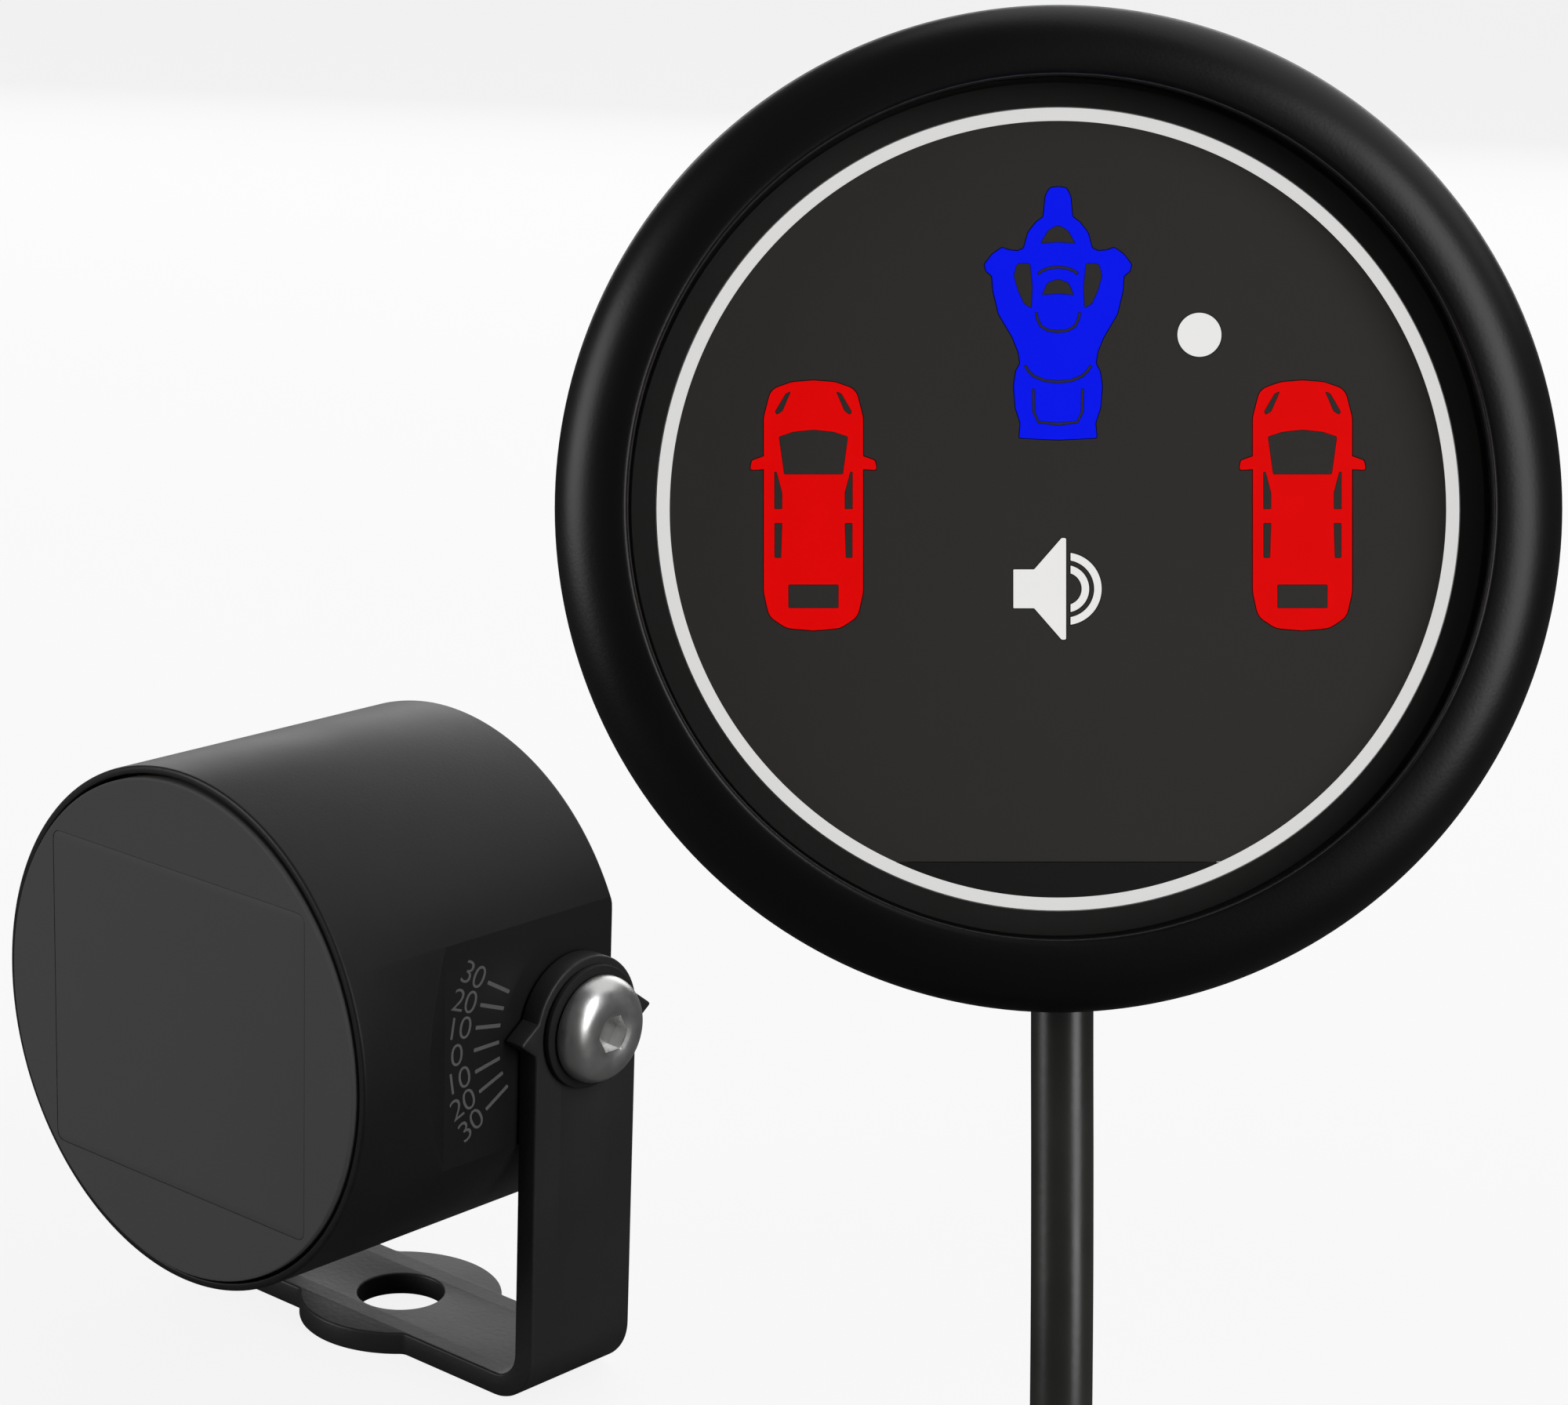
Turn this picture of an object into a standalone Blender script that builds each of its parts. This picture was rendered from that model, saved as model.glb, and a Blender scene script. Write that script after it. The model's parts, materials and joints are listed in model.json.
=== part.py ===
"""Motorcycle blind-spot radar set: a radar pod on a tilting U-bracket, and its round warning display.

World frame in metres, +Z up. The origin is the centre of the foot's bolt hole on the bracket's underside.
The pod looks along -Y and tilts about the X axis through its two side screws.
The display has a frame of its own: x right, y up, z out of its face, with z = 0 at the bezel's outer edge.
"""

import math

import bmesh
import bpy
from mathutils import Euler, Matrix, Vector

MM = 0.001

# Clearances
FIT_GAP = 0.3 * MM  # round fits and cut-outs
REST_GAP = 0.2 * MM  # faces that rest on each other

# Radar pod: a cylinder on its side with two flats for the bracket's arms
POD_RADIUS = 23.0 * MM
POD_LENGTH = 31.8 * MM
FLAT_DEPTH = 2.3 * MM  # how deep each side flat is cut into the round body
POD_FLAT = POD_RADIUS - FLAT_DEPTH  # from the pod's axis to each side flat
POD_CHAMFER = 0.4 * MM
RAMP_START = 14.9 * MM  # from the tilt axis forward to the front end of each flat
RAMP_SLOPE = 4.0 / 2.3
PIVOT_TO_BACK = 5.2 * MM  # from the tilt axis to the pod's back face
POD_GROUND = 11.3 * MM  # from the foot's underside to the pod's lowest line
PIVOT_HEIGHT = POD_RADIUS + POD_GROUND  # from the foot's underside to the tilt axis
SIDE_WALL = 2.2 * MM  # between each flat and the front chamber
SIDE_BLOCK = 7.7 * MM  # solid metal behind each flat that holds the insert
ROUND_WALL = 2.5 * MM
FRONT_CHAMBER = 17.0 * MM  # depth of the wide chamber behind the radome's seat

RADOME_INSET = 1.0 * MM  # from the pod's outside to the radome's edge
RADOME_RADIUS = POD_RADIUS - RADOME_INSET
RADOME_THICK = 1.6 * MM
RADOME_PROUD = 0.45 * MM
RADOME_CHAMFER = 0.3 * MM
SEAL_THICK = 0.8 * MM
BOARD_THICK = 1.2 * MM
ANTENNA_DROP = 0.8 * MM  # from the radome's seat back to the antenna board
BOARD_SPACING = 5.4 * MM
BOARD_EDGE_GAP = 0.4 * MM
SHIELD_SIZE = (24.0 * MM, 18.0 * MM, 2.4 * MM)
PROCESSOR_SIZE = (9.0 * MM, 9.0 * MM, 1.2 * MM)
PROCESSOR_RISE = 5.0 * MM  # above the pod's axis
HEADER_SIZE = (12.0 * MM, 5.0 * MM, 5.0 * MM)
HEADER_DROP = 8.0 * MM  # below the pod's axis
SPACER_RADIUS = 2.0 * MM
SPACER_OFFSET = 15.6 * MM

REAR_COVER_THICK = 2.0 * MM
REAR_SEAT_MARGIN = 1.0 * MM  # how far the rear cover reaches past the chamber behind it
REAR_SCREW_RADIUS = 1.25 * MM
REAR_SCREW_HEAD = 2.2 * MM
REAR_SCREW_HEAD_HEIGHT = 1.5 * MM
REAR_SCREW_LENGTH = 6.0 * MM
REAR_POST_RADIUS = 2.6 * MM
REAR_POST_LENGTH = 6.0 * MM
REAR_POST_FLOOR = 1.0 * MM  # solid metal past each screw hole's end
POST_FROM_SIDE = 0.7  # from the chamber's straight side to a post's axis, in post radii
POST_FROM_ROUND = 0.6  # from the chamber's round wall to a post's axis, in post radii
GLAND_BORE = 2.2 * MM
GLAND_TIP = 3.0 * MM
GLAND_NECK = 4.0 * MM
GLAND_FLANGE = 6.0 * MM
GLAND_FLANGE_THICK = 1.5 * MM
GLAND_BARB = 5.0 * MM
GLAND_BARB_THICK = 1.0 * MM
GLAND_LENGTH = 8.0 * MM

# Pivot screws, an M5 button head on each side
SCREW_RADIUS = 2.5 * MM
SCREW_HEAD_RADIUS = 4.75 * MM
SCREW_HEAD_HEIGHT = 2.3 * MM
SCREW_HEAD_RIM = 0.35 * MM
SCREW_TIP_CHAMFER = 0.3 * MM
SCREW_END_RADIUS = 2.95 * MM
SOCKET_ACROSS = 3.0 * MM
SOCKET_DEPTH = 1.5 * MM
WASHER_RADIUS = 5.5 * MM
WASHER_THICK = 0.5 * MM
INSERT_RADIUS = 3.8 * MM
INSERT_LENGTH = 5.0 * MM

# Bracket: one bent strip with a round eye in the middle of its foot
SHEET = 2.1 * MM
STRIP_WIDTH = 12.4 * MM
BEND_OUTER = 4.6 * MM
EYE_RADIUS = 9.3 * MM
EYE_HOLE = 4.0 * MM
POINTER_REACH = 8.1 * MM  # from the tilt axis to each pointer's tip
POINTER_HALF = 1.4 * MM
POINTER_ROOT = 1.0 * MM  # how much wider each pointer is where it joins the head

# Display
DISPLAY_PLACE = (110.89 * MM, -54.20 * MM, 103.03 * MM)
DISPLAY_TURN = 40.66  # degrees about the vertical
DISPLAY_TILT_BACK = 15.38
DISPLAY_SPIN = 2.04
DISPLAY_RADIUS = 29.0 * MM
BEZEL_WIDTH = 4.3 * MM
BEZEL_OPENING = DISPLAY_RADIUS - BEZEL_WIDTH
BEZEL_RISE = 2.6 * MM
BEZEL_LIP = 1.2 * MM
BEZEL_SKIRT = 4.0 * MM
BEZEL_WALL = 2.5 * MM
BEZEL_ROUND = 0.5 * MM
LENS_THICK = 1.3 * MM
GASKET_WIDTH = 1.2 * MM
GASKET_THICK = 0.4 * MM
PANEL_THICK = 0.4 * MM
RING_INSET = 1.55 * MM  # from the bezel's opening to the white ring
RING_WIDTH = 0.71 * MM
RING_OUTER = BEZEL_OPENING - RING_INSET
RING_INNER = RING_OUTER - RING_WIDTH
MASK_GAP = 0.1 * MM  # between the mask ring and the bezel's opening
GUIDE_DEPTH = 1.6 * MM
BAFFLE_FLANGE = 1.0 * MM
BAFFLE_DEPTH = 3.8 * MM
POCKET_MARGIN = 0.4 * MM
CIRCUIT_THICK = 1.4 * MM
RIM_SEAL_THICK = 0.6 * MM
HOUSING_FLOOR = 1.5 * MM
HOUSING_CHAMFER = 1.0 * MM
HOUSING_INSET = 0.8 * MM  # the housing's step in from the bezel's outside
SPIGOT_WALL = 1.0 * MM
LEDGE_WIDTH = 1.4 * MM
PAD_INSET = 5.0 * MM  # from the bezel's outside to the pad's edge
PAD_RADIUS = DISPLAY_RADIUS - PAD_INSET
PAD_THICK = 1.0 * MM
LED_SIZE = (1.6 * MM, 1.6 * MM, 0.8 * MM)
CHIP_SIZE = (7.0 * MM, 7.0 * MM, 1.0 * MM)
CHIP_PLACE = (-9.0 * MM, 4.0 * MM)
BUZZER_RADIUS = 4.5 * MM
BUZZER_HEIGHT = 2.4 * MM
BUZZER_PLACE = (8.0 * MM, 5.0 * MM)

# Lit symbols: places on the display's face
CAR_OFFSET = 14.1 * MM
CAR_RISE = 0.2 * MM
SPEAKER_PLACE = (0.43 * MM, -4.6 * MM)
WAVE_WIDTH = 0.43 * MM
WAVE_INNER = 0.94 * MM
WAVE_OUTER = 1.68 * MM
WAVE_START = 0.3 * MM  # where both waves are cut off, to the right of their centre
DOT_PLACE = (8.16 * MM, 10.05 * MM)
DOT_RADIUS = 1.27 * MM

# Cable, its coil and its plug
CABLE_RADIUS = 1.9 * MM
CABLE_OFFSET = 0.8 * MM  # sideways from the display's middle
CABLE_START = 2.6 * MM  # from the bezel's outside in to the cable's end inside the gland
CABLE_GLAND_WALL = 0.8 * MM
CABLE_HOLE_FRONT = 0.1 * MM  # housing left in front of the gland's hole
CABLE_HOLE_BACK = 0.3 * MM  # housing left behind the gland's hole
CABLE_GLAND_INSET = 0.2 * MM  # from the bezel's outside to the gland's end
CABLE_ROUTE = [
    (0.11150, -0.05220, 0.07540),
    (0.11250, -0.05310, 0.07050),
    (0.11420, -0.05460, 0.06230),
    (0.11600, -0.05625, 0.05350),
    (0.11730, -0.05740, 0.04500),
    (0.11805, -0.05805, 0.03600),
    (0.11826, -0.05828, 0.03000),
    (0.11826, -0.05828, 0.02550),
    (0.11760, -0.05890, 0.01920),
    (0.11550, -0.06020, 0.01550),
]
TAIL_ROUTE = [
    (0.09550, -0.07205, 0.00210),
    (0.09200, -0.07190, 0.00270),
    (0.08600, -0.07160, 0.00460),
    (0.08050, -0.07150, 0.00630),
    (0.07600, -0.07150, 0.00680),
]
COIL_CENTRE = (109.7 * MM, -48.5 * MM)
COIL_OUTER = 25.5 * MM
COIL_INNER = 14.0 * MM
COIL_HEIGHT = 13.0 * MM
COIL_EDGE = 2.0 * MM
PLUG_RADIUS = 5.6 * MM
PLUG_NUT_RADIUS = 6.6 * MM
PLUG_WALL = 1.2 * MM
PLUG_STEP = 0.4 * MM  # the step in from the collar to the barrel
BOOT_LENGTH = 9.0 * MM
BOOT_END = 2.0 * MM  # the straight end of the boot, against the body
BOOT_WALL = 0.8 * MM
PLUG_LENGTH = 15.0 * MM
COLLAR_LENGTH = 4.0 * MM
PLUG_FLOOR = 5.0 * MM  # from the body's rear to the floor of its cavity
NUT_LENGTH = 8.0 * MM
INSERT_THICK = 4.0 * MM
PIN_PROUD = 4.0 * MM
PLUG_SEAL_WIDTH = 0.7 * MM
PLUG_SEAL_THICK = 1.0 * MM
PIN_COUNT = 4
PIN_RADIUS = 0.5 * MM
PIN_CIRCLE = 2.0 * MM

FINE = 56  # sides of the large round pieces
HIDDEN = 40  # sides of the large rings inside
COARSE = 32
SMALL = 16
OVER = 2.0 * MM  # how far each cutting shape reaches past what it cuts

COLOURS = {
    "black_metal": ((0.016, 0.016, 0.016), 0.42, 0.35),
    "black_plastic": ((0.022, 0.022, 0.021), 0.45, 0.0),
    "radome_plastic": ((0.058, 0.058, 0.058), 0.60, 0.0),
    "mask_black": ((0.012, 0.012, 0.012), 0.35, 0.0),
    "face_grey": ((0.032, 0.030, 0.028), 0.55, 0.0),
    "lens_clear": ((0.60, 0.60, 0.60), 0.08, 0.0),
    "white_light": ((0.85, 0.85, 0.83), 0.40, 0.0),
    "red_light": ((0.80, 0.00, 0.00), 0.40, 0.0),
    "blue_light": ((0.00, 0.01, 0.95), 0.40, 0.0),
    "steel": ((0.55, 0.55, 0.54), 0.25, 1.0),
    "brass": ((0.60, 0.45, 0.20), 0.30, 1.0),
    "circuit_green": ((0.01, 0.10, 0.03), 0.45, 0.0),
    "rubber": ((0.018, 0.018, 0.018), 0.70, 0.0),
    "foam": ((0.04, 0.04, 0.04), 0.90, 0.0),
    "chip": ((0.02, 0.02, 0.02), 0.40, 0.0),
    "led": ((0.80, 0.78, 0.60), 0.30, 0.0),
    "cable": ((0.020, 0.021, 0.019), 0.30, 0.0),
}


# ---------------------------------------------------------------- helpers


def material(name):
    """The named material, made on first use."""
    found = bpy.data.materials.get(name)
    if found:
        return found
    colour, roughness, metallic = COLOURS[name]
    made = bpy.data.materials.new(name)
    made.use_nodes = True
    shader = made.node_tree.nodes["Principled BSDF"]
    shader.inputs["Base Color"].default_value = (*colour, 1.0)
    shader.inputs["Roughness"].default_value = roughness
    shader.inputs["Metallic"].default_value = metallic
    made.diffuse_color = (*colour, 1.0)
    return made


def frame_empty(name, place, turn=(0.0, 0.0, 0.0), parent=None):
    """An empty that carries a sub-assembly's frame."""
    empty = bpy.data.objects.new(name, None)
    empty.location = place
    empty.rotation_euler = turn
    empty.parent = parent
    empty.empty_display_size = 0.01
    bpy.context.scene.collection.objects.link(empty)
    return empty


def solid(name, mesh, look, parent=None, place=(0.0, 0.0, 0.0), turn=(0.0, 0.0, 0.0)):
    """An object for one sub-part, with its own material."""
    mesh.materials.append(material(look))
    mesh.shade_smooth()
    mesh.set_sharp_from_angle(angle=math.radians(32.0))
    made = bpy.data.objects.new(name, mesh)
    made.parent = parent
    made.location = place
    made.rotation_euler = turn
    bpy.context.scene.collection.objects.link(made)
    return made


def closed_mesh(name, points, faces):
    """A mesh whose faces all point outwards."""
    work = bmesh.new()
    corners = [work.verts.new(point) for point in points]
    for face in faces:
        work.faces.new([corners[index] for index in face])
    bmesh.ops.recalc_face_normals(work, faces=work.faces)
    mesh = bpy.data.meshes.new(name)
    work.to_mesh(mesh)
    work.free()
    return mesh


def turned(name, profile, sides):
    """A solid turned about local Z. The profile is (radius, height) pairs.

    A profile that starts and ends at radius 0 closes on the axis; any other one closes on itself as a ring.
    """
    on_axis = profile[0][0] == 0.0 and profile[-1][0] == 0.0
    rings = profile[1:-1] if on_axis else profile
    points = []
    for radius, height in rings:
        for step in range(sides):
            angle = 2.0 * math.pi * step / sides
            points.append((radius * math.cos(angle), radius * math.sin(angle), height))
    faces = []
    bands = len(rings) - 1 if on_axis else len(rings)
    for band in range(bands):
        low = band * sides
        high = ((band + 1) % len(rings)) * sides
        for step in range(sides):
            after = (step + 1) % sides
            faces.append((low + step, low + after, high + after, high + step))
    if on_axis:
        faces.append(tuple(range(sides)))
        faces.append(tuple(range((len(rings) - 1) * sides, len(rings) * sides)))
    return closed_mesh(name, points, faces)


def prism(name, outline, low, high, along="Z"):
    """An outline pushed along an axis. Along X it is read as (y, z), along Y as (x, z)."""
    order = {
        "X": lambda u, v, w: (w, u, v),
        "Y": lambda u, v, w: (u, w, v),
        "Z": lambda u, v, w: (u, v, w),
    }[along]
    count = len(outline)
    points = [order(u, v, level) for level in (low, high) for u, v in outline]
    faces = [tuple(range(count)), tuple(range(count, 2 * count))]
    for step in range(count):
        after = (step + 1) % count
        faces.append((step, after, count + after, count + step))
    return closed_mesh(name, points, faces)


def ring_prism(name, outer, inner, low, high):
    """A frame between two outlines that have the same number of points."""
    count = len(outer)
    loops = [(outer, low), (outer, high), (inner, high), (inner, low)]
    points = [(u, v, level) for outline, level in loops for u, v in outline]
    faces = []
    for loop in range(4):
        first = loop * count
        second = ((loop + 1) % 4) * count
        for step in range(count):
            after = (step + 1) % count
            faces.append((first + step, first + after, second + after, second + step))
    return closed_mesh(name, points, faces)


def box(name, size, centre):
    """A box of the given size about a centre."""
    half_x, half_y = size[0] / 2.0, size[1] / 2.0
    x, y, z = centre
    signs = [(-1.0, -1.0), (1.0, -1.0), (1.0, 1.0), (-1.0, 1.0)]
    corners = [(x + u * half_x, y + v * half_y) for u, v in signs]
    return prism(name, corners, z - size[2] / 2.0, z + size[2] / 2.0)


def rod(name, radius, low, high, sides=SMALL):
    """A plain round bar along local Z."""
    return turned(name, [(0.0, low), (radius, low), (radius, high), (0.0, high)], sides)


def tool(target, operation, mesh, parent=None, place=(0.0, 0.0, 0.0), turn=(0.0, 0.0, 0.0)):
    """A hidden shape that a Boolean cuts from its target or joins to it."""
    guide = bpy.data.objects.new(f"{target.name}_tool", mesh)
    guide.parent = parent if parent else target.parent
    guide.location = place
    guide.rotation_euler = turn
    guide.hide_render = True
    guide.display_type = "WIRE"
    bpy.context.scene.collection.objects.link(guide)
    modifier = target.modifiers.new("shape", "BOOLEAN")
    modifier.operation = operation
    modifier.solver = "EXACT"
    modifier.object = guide


def circle(radius, sides, centre=(0.0, 0.0)):
    """Points round a circle."""
    angles = [2.0 * math.pi * step / sides for step in range(sides)]
    return [(centre[0] + radius * math.cos(a), centre[1] + radius * math.sin(a)) for a in angles]


def flatted(radius, half_width, steps=14):
    """A circle whose left and right sides are cut straight at the given half width."""
    start = math.acos(half_width / radius)
    angles = [start + (math.pi - 2.0 * start) * step / steps for step in range(steps + 1)]
    top = [(radius * math.cos(a), radius * math.sin(a)) for a in angles]
    return top + [(-x, -y) for x, y in top]


def mirrored(half):
    """A closed outline from its right half, listed from top to bottom."""
    left = [(-x, y) for x, y in reversed(half) if x > 0.0]
    return half + left


def grown(outline, margin):
    """The outline moved outwards by a margin, square to each side."""
    area = sum(a[0] * b[1] - b[0] * a[1] for a, b in zip(outline, outline[1:] + outline[:1]))
    sense = 1.0 if area > 0.0 else -1.0
    moved = []
    for index, point in enumerate(outline):
        before = Vector(point) - Vector(outline[index - 1])
        after = Vector(outline[(index + 1) % len(outline)]) - Vector(point)
        normals = [Vector((side.y, -side.x)).normalized() * sense for side in (before, after)]
        middle = (normals[0] + normals[1]).normalized()
        reach = margin / max(middle.dot(normals[0]), 0.5)
        moved.append((point[0] + middle.x * reach, point[1] + middle.y * reach))
    return moved


def shifted(outline, centre):
    """The outline moved to a centre."""
    return [(x + centre[0], y + centre[1]) for x, y in outline]


def extent(outline, margin):
    """Size and centre of the outline's box, grown by a margin on every side."""
    low_x, high_x = min(x for x, _ in outline) - margin, max(x for x, _ in outline) + margin
    low_y, high_y = min(y for _, y in outline) - margin, max(y for _, y in outline) + margin
    return (high_x - low_x, high_y - low_y), ((low_x + high_x) / 2.0, (low_y + high_y) / 2.0)


# ---------------------------------------------------------------- bracket

ARM_INNER = POD_FLAT + REST_GAP
ARM_OUTER = ARM_INNER + SHEET


def strip_outline():
    """The bent strip seen along Y: up one arm, round both bends and up the other."""
    def corner(radius, side):
        angles = [math.radians(90.0 * step / 6) for step in range(7)]
        middle = ARM_OUTER - BEND_OUTER
        points = [(middle + radius * math.cos(a), BEND_OUTER - radius * math.sin(a)) for a in angles]
        return points if side > 0 else [(-x, z) for x, z in reversed(points)]

    outer = [(ARM_OUTER, PIVOT_HEIGHT)] + corner(BEND_OUTER, 1) + corner(BEND_OUTER, -1)
    outer.append((-ARM_OUTER, PIVOT_HEIGHT))
    inner = [(ARM_INNER, PIVOT_HEIGHT)] + corner(BEND_OUTER - SHEET, 1) + corner(BEND_OUTER - SHEET, -1)
    inner.append((-ARM_INNER, PIVOT_HEIGHT))
    return outer + inner[::-1]


def build_bracket():
    """The U-bracket: strip, eye, round arm heads and the two pointers on each arm."""
    half = STRIP_WIDTH / 2.0
    bracket = solid("bracket", prism("bracket", strip_outline(), -half, half, "Y"), "black_metal")
    tool(bracket, "UNION", rod("eye", EYE_RADIUS, 0.0, SHEET, COARSE + 8))
    root = POINTER_HALF + POINTER_ROOT
    across = half - POINTER_HALF
    pointer = [(-POINTER_REACH, 0.0), (-across, -root), (across, -root)]
    pointer += [(POINTER_REACH, 0.0), (across, root), (-across, root)]
    for side in (-1.0, 1.0):
        low, high = sorted((side * ARM_INNER, side * ARM_OUTER))
        head = prism("head", circle(half, COARSE), low, high, "X")
        tool(bracket, "UNION", head, place=(0.0, 0.0, PIVOT_HEIGHT))
        tips = prism("pointer", pointer, low, high, "X")
        tool(bracket, "UNION", tips, place=(0.0, 0.0, PIVOT_HEIGHT))
    hole = prism("hole", circle(SCREW_RADIUS + FIT_GAP, SMALL + 4), -2.0 * ARM_OUTER, 2.0 * ARM_OUTER, "X")
    tool(bracket, "DIFFERENCE", hole, place=(0.0, 0.0, PIVOT_HEIGHT))
    tool(bracket, "DIFFERENCE", rod("eye_hole", EYE_HOLE, -SHEET, 2.0 * SHEET, COARSE))
    return bracket


# ---------------------------------------------------------------- radar pod

# Heights along the pod's axis, from its middle towards the radome
POD_FRONT = POD_LENGTH / 2.0
POD_BACK = -POD_FRONT
HOUSING_FRONT = POD_FRONT - RADOME_PROUD
RADOME_BACK = POD_FRONT - RADOME_THICK
RADOME_SEAT = RADOME_BACK - SEAL_THICK - 2.0 * REST_GAP
COVER_FRONT = POD_BACK + REAR_COVER_THICK
COVER_SEAT = COVER_FRONT + SEAL_THICK + 2.0 * REST_GAP
PIVOT_Z = POD_BACK + PIVOT_TO_BACK
CHAMBER_RADIUS = POD_RADIUS - ROUND_WALL
CHAMBER_HALF = POD_FLAT - SIDE_WALL
BACK_HALF = POD_FLAT - SIDE_BLOCK
ANTENNA_FRONT = RADOME_SEAT - ANTENNA_DROP
PROCESSOR_FRONT = ANTENNA_FRONT - BOARD_THICK - BOARD_SPACING
COVER_RADIUS = CHAMBER_RADIUS + REAR_SEAT_MARGIN
COVER_HALF = BACK_HALF + REAR_SEAT_MARGIN


def rear_screw_places():
    """The four rear screws, in the corners of the back chamber."""
    x = BACK_HALF - POST_FROM_SIDE * REAR_POST_RADIUS
    y = math.sqrt((CHAMBER_RADIUS - POST_FROM_ROUND * REAR_POST_RADIUS) ** 2 - x * x)
    return [(x, y), (-x, y), (-x, -y), (x, -y)]


def build_housing(pod):
    """The pod's metal body, open at the front for the radome and at the back for its cover."""
    recess = RADOME_RADIUS + FIT_GAP
    profile = [(0.0, POD_BACK), (POD_RADIUS, POD_BACK), (POD_RADIUS, HOUSING_FRONT - POD_CHAMFER)]
    profile += [(POD_RADIUS - POD_CHAMFER, HOUSING_FRONT), (recess, HOUSING_FRONT)]
    profile += [(recess, RADOME_SEAT), (0.0, RADOME_SEAT)]
    housing = solid("pod_housing", turned("pod_housing", profile, FINE), "black_metal", pod)
    front = RADOME_SEAT + OVER
    chamber = flatted(CHAMBER_RADIUS, CHAMBER_HALF)
    tool(housing, "DIFFERENCE", prism("front_chamber", chamber, RADOME_SEAT - FRONT_CHAMBER, front))
    back = flatted(CHAMBER_RADIUS, BACK_HALF)
    tool(housing, "DIFFERENCE", prism("back_chamber", back, POD_BACK - OVER, front))
    seat = flatted(COVER_RADIUS + FIT_GAP, COVER_HALF + FIT_GAP)
    tool(housing, "DIFFERENCE", prism("cover_seat", seat, POD_BACK - OVER, COVER_SEAT))
    for place in rear_screw_places():
        post = rod("post", REAR_POST_RADIUS, COVER_SEAT, COVER_SEAT + REAR_POST_LENGTH)
        tool(housing, "UNION", post, place=(*place, 0.0))
    for place in rear_screw_places():
        depth = COVER_SEAT + REAR_POST_LENGTH - REAR_POST_FLOOR
        hole = rod("hole", REAR_SCREW_RADIUS + FIT_GAP, COVER_SEAT - OVER, depth)
        tool(housing, "DIFFERENCE", hole, place=(*place, 0.0))
    ramp_end = POD_RADIUS + OVER
    for side in (-1.0, 1.0):
        ramp_start = PIVOT_Z + RAMP_START
        flat = [(side * POD_FLAT, POD_BACK - OVER), (side * POD_FLAT, ramp_start)]
        flat += [(side * ramp_end, ramp_start + (ramp_end - POD_FLAT) * RAMP_SLOPE)]
        flat += [(side * ramp_end, POD_BACK - OVER)]
        tool(housing, "DIFFERENCE", prism("flat", flat, -POD_RADIUS, POD_RADIUS, "Y"))
        depth = INSERT_LENGTH + 2.0 * REST_GAP
        bore = rod("bore", INSERT_RADIUS + FIT_GAP, POD_FLAT - depth, POD_FLAT + OVER, SMALL + 4)
        tool(housing, "DIFFERENCE", bore, place=(0.0, 0.0, PIVOT_Z), turn=(0.0, side * math.pi / 2.0, 0.0))


def build_radome(pod):
    """The flat front disc that the radar looks through, and its gasket."""
    profile = [(0.0, RADOME_BACK), (RADOME_RADIUS, RADOME_BACK), (RADOME_RADIUS, POD_FRONT - RADOME_CHAMFER)]
    profile += [(RADOME_RADIUS - RADOME_CHAMFER, POD_FRONT), (0.0, POD_FRONT)]
    solid("radome", turned("radome", profile, FINE), "radome_plastic", pod)
    low, high = RADOME_SEAT + REST_GAP, RADOME_BACK - REST_GAP
    inner = CHAMBER_RADIUS + FIT_GAP
    gasket = [(inner, low), (RADOME_RADIUS, low), (RADOME_RADIUS, high), (inner, high)]
    solid("radome_seal", turned("radome_seal", gasket, HIDDEN), "rubber", pod)


def build_boards(pod):
    """The antenna board, its shield, the spacers and the processor board with its parts."""
    outline = flatted(CHAMBER_RADIUS - BOARD_EDGE_GAP, CHAMBER_HALF - BOARD_EDGE_GAP, 12)
    antenna_back = ANTENNA_FRONT - BOARD_THICK
    solid("antenna_board", prism("antenna_board", outline, antenna_back, ANTENNA_FRONT), "circuit_green", pod)
    shield = box("shield_can", SHIELD_SIZE, (0.0, 0.0, antenna_back - REST_GAP - SHIELD_SIZE[2] / 2.0))
    solid("shield_can", shield, "steel", pod)
    processor_back = PROCESSOR_FRONT - BOARD_THICK
    board = prism("processor_board", outline, processor_back, PROCESSOR_FRONT)
    solid("processor_board", board, "circuit_green", pod)
    under = processor_back - REST_GAP
    chip = box("radar_processor", PROCESSOR_SIZE, (0.0, PROCESSOR_RISE, under - PROCESSOR_SIZE[2] / 2.0))
    solid("radar_processor", chip, "chip", pod)
    header = box("cable_header", HEADER_SIZE, (0.0, -HEADER_DROP, under - HEADER_SIZE[2] / 2.0))
    solid("cable_header", header, "black_plastic", pod)
    low, high = PROCESSOR_FRONT + REST_GAP, antenna_back - REST_GAP
    bore = SPACER_RADIUS / 2.0
    spacer = turned("board_spacer", [(bore, low), (SPACER_RADIUS, low), (SPACER_RADIUS, high), (bore, high)], SMALL)
    for name, side in (("left", -1.0), ("right", 1.0)):
        solid(f"board_spacer_{name}", spacer.copy(), "brass", pod, (side * SPACER_OFFSET, 0.0, 0.0))


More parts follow.
